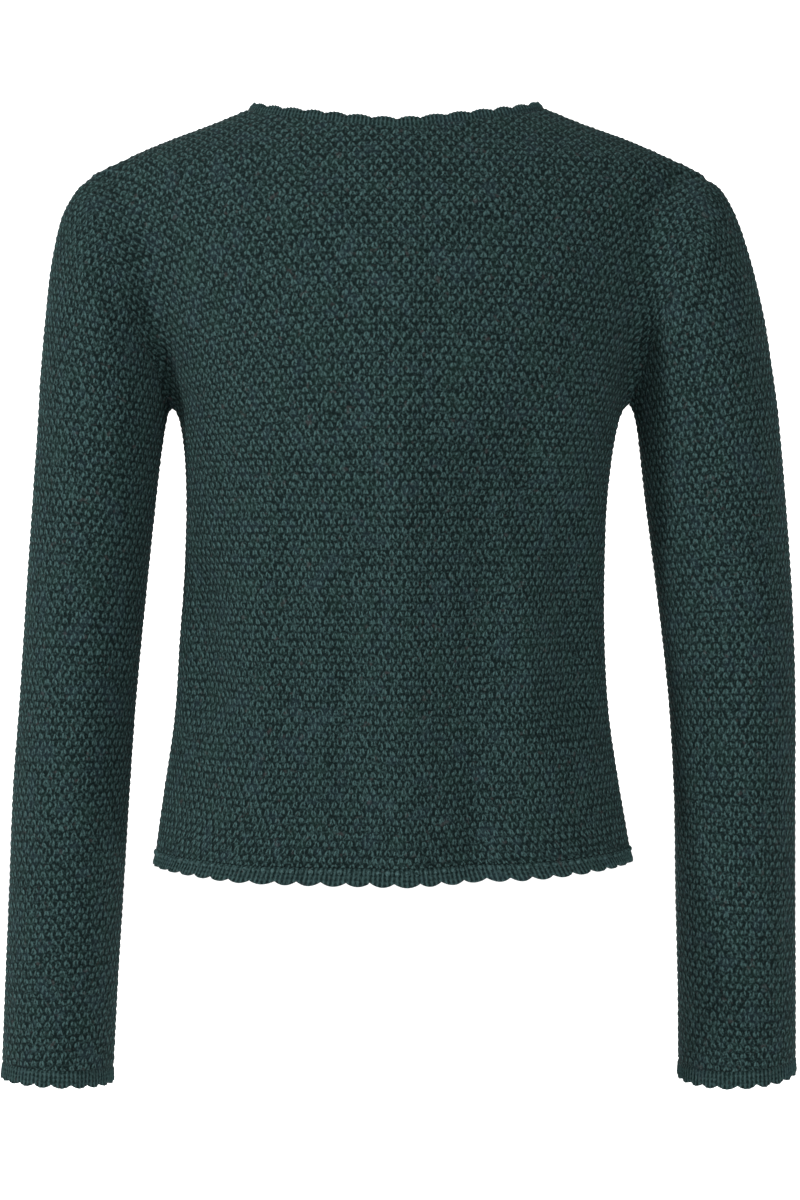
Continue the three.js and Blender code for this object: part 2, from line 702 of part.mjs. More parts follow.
function solid(geometry) {
  const bare = new THREE.BufferGeometry();
  bare.setAttribute("position", geometry.getAttribute("position").clone());
  if (geometry.index) bare.setIndex(geometry.index.clone());
  const merged = mergeVertices(bare, 1e-4);
  return new wasm.Manifold(
    new wasm.Mesh({
      numProp: 3,
      vertProperties: new Float32Array(merged.attributes.position.array),
      triVerts: new Uint32Array(merged.index.array),
    }),
  );
}

function fromSolid(body) {
  const { vertProperties, triVerts } = body.getMesh();
  return closed(Array.from(vertProperties), Array.from(triVerts));
}

// The places of the buttons on the upper band, from the top one down. Each lies across the two points
// of the band's middle line under its rim, and clear of the highest point between them.
function buttonPlaces() {
  const column = bandColumn(0, 0);
  const total = lengthOf(column);
  const along = alongPoints(column.map((s) => s.point));
  const at = (length) => along(length / total);
  const from = total - BUTTONS.first;
  const step = (from - BUTTONS.last) / (BUTTONS.count - 1);
  return Array.from({ length: BUTTONS.count }, (_, i) => {
    const height = from - i * step;
    const low = at(height - BUTTONS.radius);
    const high = at(height + BUTTONS.radius);
    const up = high.clone().sub(low).normalize();
    const out = outward(at(height));
    out.addScaledVector(up, -out.dot(up)).normalize();
    const rises = [-6, -4, -2, 0, 2, 4, 6].map((d) => at(height + d).sub(low).dot(out));
    const point = low.add(high).multiplyScalar(0.5).addScaledVector(out, Math.max(0, ...rises));
    return { point, out, up };
  });
}
const PLACES = buttonPlaces();

// Turns and moves a shape made around the z axis so that it lies on the cloth at a place.
function place(geometry, { point, out, up }, lift) {
  const x = up.clone().cross(out).normalize();
  const y = out.clone().cross(x);
  const turn = new THREE.Matrix4().makeBasis(x, y, out);
  return geometry.applyMatrix4(turn.setPosition(point.clone().addScaledVector(out, lift)));
}

function upperBand() {
  const columns = [-BAND_HALF_WIDTH, 0, BAND_HALF_WIDTH].map((x) => ({ x, depth: 0 }));
  let body = solid(band(columns));
  for (const spot of PLACES) {
    const slot = new THREE.BoxGeometry(BUTTONHOLE.length, BUTTONHOLE.height, 4 * WALL);
    body = body.subtract(solid(place(slot, spot, 0)));
  }
  return fromSolid(body);
}

// A round button with four holes, its rims rounded off.
function button(spot) {
  const circle = (x, y, radius, sides) =>
    Array.from({ length: sides }, (_, i) => {
      const angle = (2 * Math.PI * i) / sides;
      return new THREE.Vector2(x + radius * Math.cos(angle), y + radius * Math.sin(angle));
    });
  const disc = new THREE.Shape(circle(0, 0, BUTTONS.radius - BUTTONS.bevel, BUTTONS.sides));
  const { radius, spread: off, sides } = BUTTON_HOLES;
  for (const [x, y] of [[off, off], [-off, off], [-off, -off], [off, -off]]) {
    disc.holes.push(new THREE.Path(circle(x, y, radius, sides)));
  }
  const shape = new THREE.ExtrudeGeometry(disc, {
    depth: BUTTONS.height - 2 * BUTTONS.round,
    bevelThickness: BUTTONS.round,
    bevelSize: BUTTONS.bevel,
    bevelSegments: 1,
  });
  shape.translate(0, 0, BUTTONS.round);
  return place(closedCopy(shape), spot, 0.32);
}

function closedCopy(geometry) {
  const bare = new THREE.BufferGeometry();
  bare.setAttribute("position", geometry.getAttribute("position").clone());
  const merged = mergeVertices(bare, 1e-4);
  return closed(Array.from(merged.attributes.position.array), Array.from(merged.index.array));
}

const cardigan = new THREE.Group();

function add(name, geometry, finish) {
  const mesh = new THREE.Mesh(geometry, new THREE.MeshStandardMaterial(finish));
  mesh.name = name;
  cardigan.add(mesh);
}

add("back_panel", backPanel(), GREEN);
add("front_left", frontPanel("left"), GREEN);
add("front_right", frontPanel("right"), GREEN);
add("sleeve_left", sleeve("left"), GREEN);
add("sleeve_right", sleeve("right"), GREEN);
add("neck_edging", neckEdging(), EDGE_GREEN);
add("hem_edging", hemEdging(), EDGE_GREEN);
add("cuff_edging_left", cuffEdging("left"), EDGE_GREEN);
add("cuff_edging_right", cuffEdging("right"), EDGE_GREEN);
add("button_band", lowerBand(), EDGE_GREEN);
add("buttonhole_band", upperBand(), EDGE_GREEN);
PLACES.forEach((spot, i) => add(`button_${i + 1}`, button(spot), HORN));

export default cardigan;
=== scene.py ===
import math
from functools import partial

import bpy
import numpy as np
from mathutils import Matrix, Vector, geometry


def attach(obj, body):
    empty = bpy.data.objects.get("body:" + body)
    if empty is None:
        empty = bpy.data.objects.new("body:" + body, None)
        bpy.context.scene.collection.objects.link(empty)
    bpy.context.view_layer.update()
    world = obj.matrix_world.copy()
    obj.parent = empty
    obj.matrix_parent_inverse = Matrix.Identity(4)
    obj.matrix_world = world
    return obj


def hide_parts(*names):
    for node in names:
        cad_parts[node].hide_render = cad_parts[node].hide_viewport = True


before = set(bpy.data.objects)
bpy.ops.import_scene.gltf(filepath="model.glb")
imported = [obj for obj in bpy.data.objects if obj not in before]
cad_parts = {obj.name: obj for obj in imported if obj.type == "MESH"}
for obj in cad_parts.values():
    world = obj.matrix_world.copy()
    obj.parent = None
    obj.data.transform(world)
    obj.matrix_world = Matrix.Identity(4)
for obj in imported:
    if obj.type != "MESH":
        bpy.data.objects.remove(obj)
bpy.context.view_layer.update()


# Camera and studio: the camera stands level behind the cardigan, at +Y, and looks straight at its back.
# Four round soft lights and a pale sky light it, and the floor and backdrop are glowing white boards.
MM = 0.001
LIGHTS_AIM = (0, 0, -0.3)


def new_object(name, data):
    """An object in the scene that shows the given mesh, light or camera."""
    obj = bpy.data.objects.new(name, data)
    bpy.context.scene.collection.objects.link(obj)
    return obj


def fill(tree, to, **inputs):
    """Sets or links a node's inputs, given by name with _ for a space, or by number as _0."""
    for key, value in inputs.items():
        socket = to.inputs[int(key[1:])] if key[0] == "_" else to.inputs[key.replace("_", " ")]
        if isinstance(value, bpy.types.NodeSocket):
            tree.links.new(value, socket)
        else:
            socket.default_value = value


def new_material(name, **inputs):
    """A material, its node tree, and its surface shader with the given inputs."""
    material = bpy.data.materials.new(name)
    material.use_nodes = True
    finish = material.node_tree.nodes["Principled BSDF"]
    fill(material.node_tree, finish, **inputs)
    return material, material.node_tree, finish


camera_data = bpy.data.cameras.new("camera")
camera_data.lens = 120
camera_data.sensor_width = 36
camera = new_object("camera", camera_data)
camera.location = (-0.0026, 2.6, -0.324)
camera.rotation_euler = (math.radians(90), 0, math.radians(180))
bpy.context.scene.camera = camera


def soft_light(name, place, size, power):
    data = bpy.data.lights.new(name, "AREA")
    data.shape = "DISK"
    data.size = size
    data.energy = power
    light = new_object(name, data)
    light.location = place
    light.rotation_euler = (Vector(LIGHTS_AIM) - Vector(place)).to_track_quat("-Z", "Y").to_euler()


soft_light("light from the left", (2.2, 1.4, 1.2), 0.5, 82)
soft_light("light from the right", (-1.3, 2.5, 0.3), 0.5, 34)
soft_light("light from above", (0.1, 1.5, 2.4), 1.0, 26)
soft_light("light in front", (0.6, -2.9, 0.7), 1.4, 60)

world = bpy.data.worlds.new("studio")
world.use_nodes = True
world.node_tree.nodes["Background"].inputs["Color"].default_value = (1, 1, 1, 1)
world.node_tree.nodes["Background"].inputs["Strength"].default_value = 0.3
bpy.context.scene.world = world
bpy.context.scene.view_settings.view_transform = "Standard"


def plain_stage(name, corners, glow):
    mesh = bpy.data.meshes.new(name)
    mesh.from_pydata(corners, [], [(0, 1, 2, 3)])
    obj = new_object(name, mesh)
    material, _, _ = new_material(name, Base_Color=(0.9, 0.9, 0.9, 1), Roughness=0.9,
                                  Emission_Color=(1, 1, 1, 1), Emission_Strength=glow)
    mesh.materials.append(material)


FLOOR = -0.8
WALL_BEHIND = -7
HALF_WIDTH = 2.5
NEAR_END = 3
CEILING = 3
shared = [(-HALF_WIDTH, WALL_BEHIND, FLOOR), (HALF_WIDTH, WALL_BEHIND, FLOOR)]
plain_stage("floor", shared + [(HALF_WIDTH, NEAR_END, FLOOR), (-HALF_WIDTH, NEAR_END, FLOOR)], 0.6)
plain_stage("backdrop", shared + [(HALF_WIDTH, WALL_BEHIND, CEILING),
                                  (-HALF_WIDTH, WALL_BEHIND, CEILING)], 0.9)


# Back panel: knitted in one piece from dark bottle green wool, in a chunky stitch whose small raised
# knots stand in staggered rows. Its rows run level from the hem up and on over the shoulders.
WALL = 2.4  # thickness of the knit, mm
HALF_SEAM = 0.05  # half the gap between two pieces at a seam
BLEND = 20  # how far apart trunk and arm still run together
PIVOT_Z = -104  # level above which the rows turn over the shoulder
HEM_Z = -483.6
HEM_DIP = 8  # how much lower the hem hangs at the middle
HEM_TILT = 1.2  # how much lower it hangs at the wearer's left side than at the middle
HEM_HALF_WIDTH = 155
HEM_CURVE_Z = -250  # level below which the rows take on the hem's curve
NECK_HALF_WIDTH = 97
NECK_TILT = {"back": 51.2, "front": 15}
SHOULDER_END = (203, -51)
UNDERARM = {"left": (145.5, -200), "right": (150.5, -200)}
UNDERARM_RANGE = (-150.0, -212.0)  # levels above and below both underarm points
STITCH_WIDTH = 5.7
STITCH_HEIGHT = 4.65
ACROSS = 4  # mesh columns in a stitch
UP = 3  # mesh rows in a stitch
SIDES = {"back": 1, "front": -1}
HANDS = {"left": 1, "right": -1}
LEVELS = np.arange(-660.0, 12.0, 0.5)
FAR = 400  # further than any ray runs inside the form
FOLD_FADE = 40  # depth from the side seam over which a fold comes up to its full height


def curves(columns, rows):
    """Smooth curves through the columns of a table, read at every level."""
    rows = np.array(sorted(rows))
    z = rows[:, 0]
    order = np.arange(len(z))
    before = np.maximum(order - 1, 0)
    after = np.minimum(order + 1, len(z) - 1)
    at = np.clip(LEVELS, z[0], z[-1])
    i = np.clip(np.searchsorted(z, at, side="right") - 1, 0, len(z) - 2)
    step = z[i + 1] - z[i]
    t = (at - z[i]) / step
    dense = {}
    for k, column in enumerate(columns[1:], 1):
        value = rows[:, k]
        slope = (value[after] - value[before]) / (z[after] - z[before])
        dense[column] = (
            value[i] * (2 * t**3 - 3 * t**2 + 1)
            + slope[i] * step * (t**3 - 2 * t**2 + t)
            + value[i + 1] * (3 * t**2 - 2 * t**3)
            + slope[i + 1] * step * (t**3 - t**2)
        )
    return dense


# Half widths and depths of the trunk's sections, and how square they are (2 is an ellipse).
TRUNK = curves(["z", "left", "right", "back", "front", "power"], [
    [-520, 159, 156, 110, 109, 2.3],
    [-491, 156.2, 152.2, 107, 107, 2.3],
    [-448, 150.4, 145, 101, 103, 2.3],
    [-400, 143.5, 138, 94, 99, 2.3],
    [-351, 140.3, 135.2, 90, 100, 2.3],
    [-302, 137, 135.2, 92, 108, 2.3],
    [-253, 135.9, 137.4, 98, 121, 2.25],
    [-204, 139.5, 144.5, 104, 123, 2.2],
    [-181, 147, 151, 105, 117, 2.15],
    [-145, 160, 162, 105, 107, 2.0],
    [-110, 175, 176, 101, 94, 1.85],
    [-80, 186, 186, 94, 84, 1.75],
    [-64, 190, 191, 88, 78, 1.7],
    [-53, 190, 192, 82, 73, 1.65],
    [-44, 185, 188, 79, 70, 1.6],
    [-37.5, 175, 178, 75, 67, 1.6],
    [-31, 161, 164, 70, 63, 1.6],
    [-24, 143.5, 147, 65, 59, 1.6],
    [-15.5, 120.5, 123, 58, 54, 1.65],
    [-4.5, 94, 96, 46, 44, 1.7],
    [7, 66, 67, 30, 30, 1.8],
])

# The arms' inner and outer sides from the middle of the garment, half depths and centres.
ARMS = curves(["z", "left in", "left out", "right in", "right out", "depth", "y"], [
    [-640, 186.5, 259, 185.7, 262.4, 42, -31],
    [-578, 182.8, 256, 184.9, 261.7, 42, -23],
    [-513, 178.5, 252.5, 183, 260.6, 43.5, -16],
    [-448, 174, 249.5, 181.5, 260.1, 45, -10],
    [-383, 169, 244.3, 177.2, 259.6, 47, -5],
    [-318, 162.5, 239.9, 169.7, 257, 49, -2],
    [-253, 155.6, 235.3, 161.4, 252.3, 51, 0],
    [-204, 150.5, 232, 156.4, 248, 53, 0],
    [-181, 150, 230.8, 155, 245, 54, 0],
    [-142, 146, 227.5, 150, 239, 54, 0],
    [-113, 144, 224.5, 147, 232.5, 51, 0],
    [-90, 146, 220.5, 148, 226, 46, 0],
    [-75, 152, 216.5, 153, 220.5, 40, 0],
    [-64, 166, 211, 166, 215, 30, 0],
    [-56, 178, 205, 178, 209, 20, 0],
    [-50, 187, 196.5, 187, 198.5, 8, 0],
])
ARM_TOP_Z = -50

# The largest soft folds of each side: from (ax, az) to (bx, bz), and how wide and high each is.
FOLDS = {"back": [
    [-3, -90, -5, -480, 15, 5],
    [66, -60, 12, -104, 9, 3],
    [-92, -42, -10, -104, 9, 3],
    [-62, -170, -50, -470, 22, -8],
    [-84, -180, -82, -290, 14, -6.5],
    [-47, -425, -49, -488, 8, -3.2],
    [122, -290, 118, -385, 15, -9],
    [-104, -240, -108, -385, 17, -9],
    [152, -158, 143, -196, 10, -2.6],
    [-160, -150, -152, -212, 13, -4.5],
    [207, -96, 182, -156, 7, 3],
    [-206, -80, -176, -158, 8, 3.4],
    [84, -420, 98, -486, 24, 4],
    [32, -300, 33, -440, 9, -3.6],
    [62, -240, 66, -400, 13, -3.6],
], "front": [
    [62, -130, 50, -300, 17, -5],
    [-72, -120, -58, -270, 15, -6],
    [117, -270, 112, -390, 15, -7],
    [-106, -255, -110, -400, 17, -7],
    [46, -330, 56, -488, 13, 3.6],
    [-62, -380, -50, -489, 14, -4],
    [149, -158, 140, -205, 11, -3],
    [-158, -152, -150, -212, 12, -4],
    [206, -96, 184, -154, 8, 3],
]}


def read(curve, z):
    return np.interp(z, LEVELS, curve)


def by_hand(curve_set, x, z, suffix=""):
    left = read(curve_set["left" + suffix], z)
    right = read(curve_set["right" + suffix], z)
    return np.where(x >= 0, left, right)


def section_gap(dx, dy, half_x, half_y, power):
    reach = np.hypot(dx, dy) + 1e-9
    size = (np.abs(dx / half_x) ** power + np.abs(dy / half_y) ** power) ** (1 / power)
    return reach - reach / np.maximum(size, 1e-9)


def smooth_step(value, low, high):
    t = np.clip((value - low) / (high - low), 0, 1)
    return t * t * (3 - 2 * t)


def fold_rise(x, y, z):
    rise = np.zeros_like(x)
    for side, folds in FOLDS.items():
        on_side = smooth_step(SIDES[side] * y, 0, FOLD_FADE)
        for ax, az, bx, bz, width, height in folds:
            along = ((x - ax) * (bx - ax) + (z - az) * (bz - az)) / ((bx - ax) ** 2 + (bz - az) ** 2)
            near = np.clip(along, 0, 1)
            off = np.hypot(x - ax - (bx - ax) * near, z - az - (bz - az) * near)
            rise += height * smooth_step(along, -0.1, 0.3) * np.exp(-((off / width) ** 2)) * on_side
    return rise


def cloth_form(p):
    """Zero on the garment's smooth outer face and negative inside it."""
    x, y, z = p[..., 0], p[..., 1], p[..., 2]
    depth = np.where(y >= 0, read(TRUNK["back"], z), read(TRUNK["front"], z))
    trunk = section_gap(x, y, by_hand(TRUNK, x, z), depth, read(TRUNK["power"], z))
    inner = by_hand(ARMS, x, z, " in")
    outer = by_hand(ARMS, x, z, " out")
    centre = np.where(x >= 0, 1, -1) * (inner + outer) / 2
    arm = section_gap(x - centre, y - read(ARMS["y"], z), (outer - inner) / 2, read(ARMS["depth"], z), 2)
    arm = np.where(z > ARM_TOP_Z, np.hypot(np.maximum(arm, 0), z - ARM_TOP_Z), arm)
    near = np.maximum(BLEND - np.abs(trunk - arm), 0) / BLEND
    return np.minimum(trunk, arm) - near**2 * BLEND / 4 - fold_rise(x, y, z)


def outward(p):
    slope = []
    for axis in range(3):
        shift = np.zeros(3)
        shift[axis] = 0.5
        slope.append(cloth_form(p + shift) - cloth_form(p - shift))
    normal = np.stack(slope, -1)
    return normal / (np.linalg.norm(normal, axis=-1, keepdims=True) + 1e-9)


def leave(origin, direction, furthest=FAR):
    """Where rays from inside the form leave it, or their furthest points."""
    shape = np.broadcast_shapes(origin.shape, direction.shape)
    origin = np.broadcast_to(origin, shape).reshape(-1, 3)
    direction = np.broadcast_to(direction, shape).reshape(-1, 3)
    furthest = np.broadcast_to(furthest, shape[:-1]).reshape(-1)
    low = np.zeros(len(origin))
    high = np.zeros(len(origin))
    depth = cloth_form(origin)
    walking = np.arange(len(origin))
    while len(walking):
        onward = low[walking] + np.maximum(-0.7 * depth[walking], 1.5)
        found = cloth_form(origin[walking] + direction[walking] * onward[:, None])
        inside = (found < 0) & (onward < furthest[walking])
        high[walking[~inside]] = np.minimum(onward, furthest[walking])[~inside]
        walking = walking[inside]
        low[walking] = onward[inside]
        depth[walking] = found[inside]
    for _ in range(13):
        half = (low + high) / 2
        inside = cloth_form(origin + direction * half[:, None]) < 0
        low = np.where(inside, half, low)
        high = np.where(inside, high, half)
    return (origin + direction * high[:, None]).reshape(shape)


def armhole_x(hand, z):
    foot_x, foot_z = UNDERARM[hand]
    return foot_x + (z - foot_z) * (SHOULDER_END[0] - foot_x) / (SHOULDER_END[1] - foot_z)


def between_x(hand, z):
    return (read(TRUNK[hand], z) + read(ARMS[hand + " in"], z)) / 2


def underarm_z(hand):
    low, high = UNDERARM_RANGE
    for _ in range(30):
        half = (low + high) / 2
        inside = cloth_form(np.array([[HANDS[hand] * armhole_x(hand, half), 0, half]]))[0] < 0
        low, high = (half, high) if inside else (low, half)
    return low


UNDERARM_Z = {hand: underarm_z(hand) for hand in HANDS}


def unit(vectors):
    return vectors / np.linalg.norm(vectors, axis=-1, keepdims=True)


def line_length(line):
    return np.linalg.norm(np.diff(line, axis=0), axis=1).sum()


def by_length(line, lengths):
    """Points of a line of points at the given lengths from its start."""
    run = np.concatenate([[0], np.cumsum(np.linalg.norm(np.diff(line, axis=0), axis=1))])
    return np.stack([np.interp(lengths, run, line[:, k]) for k in range(line.shape[1])], -1)


# The knit is stretched wide over the shoulder blades and drawn in at the waist, so a stitch is not as
# wide at every level.
STRETCH = curves(["z", "width"], [
    [-484, 5.6], [-455, 5.0], [-400, 4.85], [-350, 4.95], [-305, 5.2], [-260, 5.5], [-214, 6.0],
    [-168, 6.2], [-123, 6.5], [-80, 6.9], [-30, 7.1],
])["width"]
TRUNK_COLUMNS = 164
LEVEL_ROWS = 245
OVER_ROWS = 98
ROW_STEP = (PIVOT_Z - HEM_Z) / LEVEL_ROWS
COLUMN_STEP = STITCH_WIDTH / ACROSS
WIDEST = 236.5  # further out than the armhole at any level
TOP_SPREAD = 0.11  # share by which the columns spread as they turn over the shoulder
TOP_RADIUS = 85  # mean radius of that turn
DROOP = {"left": 0.0009, "right": 0.0003}  # how far the upper rows bend down towards the armholes


def top_turn(side, x):
    """How far the cloth turns over the shoulder before it ends, at the neckline or shoulder seam."""
    in_neck = np.sqrt(np.maximum(0, 1 - (np.abs(x) / NECK_HALF_WIDTH) ** 1.5))
    return np.radians(90 - (90 - NECK_TILT[side]) * in_neck)


def trunk_half(side, hand):
    """A lattice of points on one quarter of the trunk, at one mesh column and row apart, each with
    how far it lies outside the armhole, side seam, shoulder seam or neckline."""
    facing = SIDES[side]
    sign = HANDS[hand]
    columns = np.arange(TRUNK_COLUMNS + 1) / ACROSS
    points = np.zeros((LEVEL_ROWS + OVER_ROWS + 1, len(columns), 3))
    outside = np.zeros(points.shape[:2])
    levels = HEM_Z + np.arange(LEVEL_ROWS + 1) * ROW_STEP
    low = levels <= UNDERARM_Z[hand]
    z = levels[low]

    angles = np.radians(np.arange(0, 99.5, 1.0))
    fan = np.stack([sign * np.sin(angles), facing * np.cos(angles), 0 * angles], -1)[None]
    centres = np.stack([0 * z, 0 * z, z], -1)[:, None]
    limit = between_x(hand, z)[:, None] / np.maximum(np.sin(angles), 1e-3)
    rows = leave(centres, fan, np.minimum(limit, FAR))
    near_hem = np.maximum(0, (HEM_CURVE_Z - z) / (HEM_CURVE_Z - HEM_Z))[:, None]
    sag = HEM_DIP * (rows[..., 1] / rows[:, :1, 1]) ** 2 + HEM_TILT * rows[..., 0] / HEM_HALF_WIDTH
    rows[..., 2] -= near_hem * sag
    for i, row in enumerate(rows):
        points[i] = by_length(row, columns * read(STRETCH, levels[i]))
        outside[i] = -facing * points[i, :, 1]

    across = np.arange(0, WIDEST, 0.75)
    high_rows = np.flatnonzero(~low)
    starts = np.zeros((len(high_rows), len(across), 3))
    starts[..., 0] = sign * across
    starts[..., 2] = levels[high_rows][:, None]
    rows = leave(starts, np.array([0.0, facing, 0]))
    for i, row in zip(high_rows, rows):
        points[i] = by_length(row, columns * read(STRETCH, levels[i]))
        outside[i] = sign * points[i, :, 0] - armhole_x(hand, levels[i])

    turn = np.radians(np.arange(0, 112.5, 1.5))
    over = np.stack([0 * turn, facing * np.cos(turn), np.sin(turn)], -1)
    lengths = np.arange(1, OVER_ROWS + 1) * ROW_STEP
    starts = np.zeros((len(columns), len(turn), 3))
    starts[..., 0] = points[LEVEL_ROWS, :, 0][:, None] * (1 + TOP_SPREAD * np.sin(turn))
    starts[..., 2] = PIVOT_Z
    lines = leave(starts, over[None])
    for j, line in enumerate(lines):
        line = by_length(np.column_stack([line, turn]), lengths)
        points[LEVEL_ROWS + 1:, j] = line[:, :3]
        x = np.abs(line[:, 0])
        beyond_top = (line[:, 3] - top_turn(side, x)) * TOP_RADIUS
        beyond_armhole = x - armhole_x(hand, line[:, 2])
        outside[LEVEL_ROWS + 1:, j] = np.maximum(beyond_top, beyond_armhole)
    return points, outside


def trunk_lattice(side):
    """The whole back or front, from the wearer's right to the left."""
    left, outside_left = trunk_half(side, "left")
    right, outside_right = trunk_half(side, "right")
    points = np.concatenate([right[:, :0:-1], left], axis=1)
    outside = np.concatenate([outside_right[:, :0:-1], outside_left], axis=1)
    columns = np.arange(-TRUNK_COLUMNS, TRUNK_COLUMNS + 1) / ACROSS
    rows = np.arange(points.shape[0]) / UP
    stitches = np.stack(np.meshgrid(columns, rows), -1)
    x, z = points[..., 0], points[..., 2]
    droop = np.where(x > 0, DROOP["left"], DROOP["right"]) * x**2
    stitches[..., 1] += droop * smooth_step(z, -250, -150) / STITCH_HEIGHT
    return {"points": points, "outside": outside, "stitches": stitches}


def knots(stitches):
    """Height of the raised knots, from -1 between them to 1 on top, uneven as hand knitting is."""
    u, v = stitches[..., 0], stitches[..., 1]
    row = np.round(v)
    column = np.round(u - 0.5 * (row % 2))
    chance = np.sin(column * 12.9898 + row * 78.233 + 0.3) * 43758.5453
    chance -= np.floor(chance)
    wave = np.cos(2 * np.pi * u) * np.cos(np.pi * v)
    return wave * (0.8 + 0.4 * chance)


SNAP = 0.2  # points nearer to a seam than this move on to it
EDGE_SINK = 0.2  # how far the knit is drawn in along a seam
INNER_EDGE = 3.2  # the plain inner face keeps its own points this far from a seam
INNER_STEP = 4  # columns and rows between two of those points
KNOT_RELIEF = 0.55


def turned_out(points, faces, way):
    """The triangles, all turned over if they face against the given directions."""
    a, b, c = (points[faces[:, k]] for k in range(3))
    agreement = (np.cross(b - a, c - a) * way[faces[:, 0]]).sum()
    return faces[:, ::-1] if agreement < 0 else faces


def knit_shell(name, lattice, outside):
    """Cuts a panel out of a lattice and gives it a raised outer face, a plain inner face and edges."""
    points = lattice["points"]
    stitches = lattice["stitches"]
    normals = outward(points)
    outside = outside + HALF_SEAM
    inside = outside < -SNAP
    moved = np.zeros(outside.shape, bool)
    place = points.copy()
    way = normals.copy()
    where = stitches.copy()
    rows, columns = outside.shape
    for di, dj in ((-1, 0), (1, 0), (0, -1), (0, 1)):
        i0, i1 = max(di, 0), rows + min(di, 0)
        j0, j1 = max(dj, 0), columns + min(dj, 0)
        here = (slice(i0, i1), slice(j0, j1))
        there = (slice(i0 - di, i1 - di), slice(j0 - dj, j1 - dj))
        new = ~inside[here] & ~moved[here] & inside[there]
        t = outside[there] / (outside[there] - outside[here] - 1e-9)
        t = np.clip(t, 0, 1.6)[..., None]
        for target, source in ((place, points), (way, normals), (where, stitches)):
            cut = source[there] + (source[here] - source[there]) * t
            target[here] = np.where(new[..., None], cut, target[here])
        moved[here] |= new
    kept = inside | moved
    number = np.full(outside.shape, -1)
    number[kept] = np.arange(kept.sum())
    fade = smooth_step(-outside, -0.6, 1.6)
    sink = EDGE_SINK * np.exp(-((np.minimum(outside, 0) / 2.2) ** 2)) * inside
    lift = np.where(inside, KNOT_RELIEF * knots(where) * fade - sink, -EDGE_SINK)
    outer = place + way * lift[..., None]

    a, b = number[:-1, :-1], number[:-1, 1:]
    c, d = number[1:, 1:], number[1:, :-1]
    some = inside[:-1, :-1] | inside[:-1, 1:] | inside[1:, 1:] | inside[1:, :-1]
    corners = np.stack([a, b, c, d], -1)[some]
    present = (corners >= 0).sum(1)
    whole = corners[present == 4]
    part = corners[present == 3]
    triangles = np.concatenate([
        whole[:, [0, 1, 2]],
        whole[:, [0, 2, 3]],
        np.array([[k for k in row if k >= 0] for row in part], int).reshape(-1, 3),
    ])
    outer, middle, way, where = (grid[kept] for grid in (outer, place, way, where))
    deep = (outside < -INNER_EDGE) & kept
    coarse = np.zeros(outside.shape, bool)
    coarse[::INNER_STEP, ::INNER_STEP] = True
    triangles = turned_out(middle, triangles, way)
    return close_shell(name, knit_wool, outer, middle, way, where, triangles, number[deep & coarse],
                       (STITCH_WIDTH, STITCH_HEIGHT))


def close_shell(name, wool, outer, middle, way, where, triangles, coarse, cell):
    """Adds the plain inner face, joined up on the flat, and the edges to an outer face."""
    sides = np.concatenate([triangles[:, [0, 1]], triangles[:, [1, 2]], triangles[:, [2, 0]]])
    forward = sides[:, 0].astype(np.int64) * len(outer) + sides[:, 1]
    backward = sides[:, 1].astype(np.int64) * len(outer) + sides[:, 0]
    edge = sides[~np.isin(forward, backward)]
    rim = np.unique(edge)
    chosen = np.concatenate([rim, np.setdiff1d(coarse, rim)])
    slot_of = np.full(len(outer), -1)
    slot_of[chosen] = np.arange(len(chosen))
    corners = [Vector(p) for p in where[chosen] * cell]
    joins = [tuple(int(k) for k in slot_of[e]) for e in edge]
    for near in (1e-4, 1e-5, 1e-3):
        joined = geometry.delaunay_2d_cdt(corners, joins, [], 1, near)
        if joined[2]:
            break
    source = [found[0] if found else -1 for found in joined[3]]
    inner_faces = [[source[k] for k in f] for f in joined[2]]
    inner_faces = np.array([f for f in inner_faces if len(f) == 3 and min(f) >= 0])
    side = where[triangles[:, 1:]] - where[triangles[:, :1]]
    turned = (side[:, 0, 0] * side[:, 1, 1] - side[:, 0, 1] * side[:, 1, 0]).sum() < 0
    border = slot_of[edge][:, ::-1] if turned else slot_of[edge]
    wrong_way = set(map(tuple, border[:, ::-1].tolist()))
    in_hole = [any((f[k], f[(k + 1) % 3]) in wrong_way for k in range(3)) for f in inner_faces.tolist()]
    inner_faces = inner_faces[~np.array(in_hole)]
    inner = middle[chosen] - way[chosen] * WALL
    inner_faces = turned_out(inner, inner_faces, -way[chosen])
    base = len(outer)
    a, b = edge[:, 0], edge[:, 1]
    rims = np.stack([b, a, base + slot_of[a], base + slot_of[b]], -1)
    vertices = np.concatenate([outer, inner]) * MM
    faces = triangles.tolist() + rims.tolist() + (inner_faces + base).tolist()
    mesh = bpy.data.meshes.new(name)
    mesh.from_pydata(vertices.tolist(), [], faces)
    layer = mesh.uv_layers.new(name="stitches")
    uv = np.concatenate([where, where[chosen]])
    loops = np.zeros(len(mesh.loops), int)
    mesh.loops.foreach_get("vertex_index", loops)
    layer.data.foreach_set("uv", uv[loops].astype(np.float32).reshape(-1))
    mesh.polygons.foreach_set("use_smooth", [True] * len(mesh.polygons))
    mesh.materials.append(wool)
    mesh.update()
    obj = new_object(name, mesh)
    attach(obj, "root")
    return obj


def node(tree, kind, settings=None, **inputs):
    made = tree.nodes.new(kind)
    for key, value in (settings or {}).items():
        setattr(made, key, value)
    fill(tree, made, **inputs)
    return made


def maths(tree, operation, *values):
    inputs = {f"_{k}": value for k, value in enumerate(values)}
    return node(tree, "ShaderNodeMath", {"operation": operation}, **inputs).outputs[0]


def ramp(tree, value, low, high, start=0.0, end=1.0):
    return node(tree, "ShaderNodeMapRange", {"interpolation_type": "SMOOTHSTEP"}, Value=value,
                From_Min=low, From_Max=high, To_Min=start, To_Max=end).outputs["Result"]


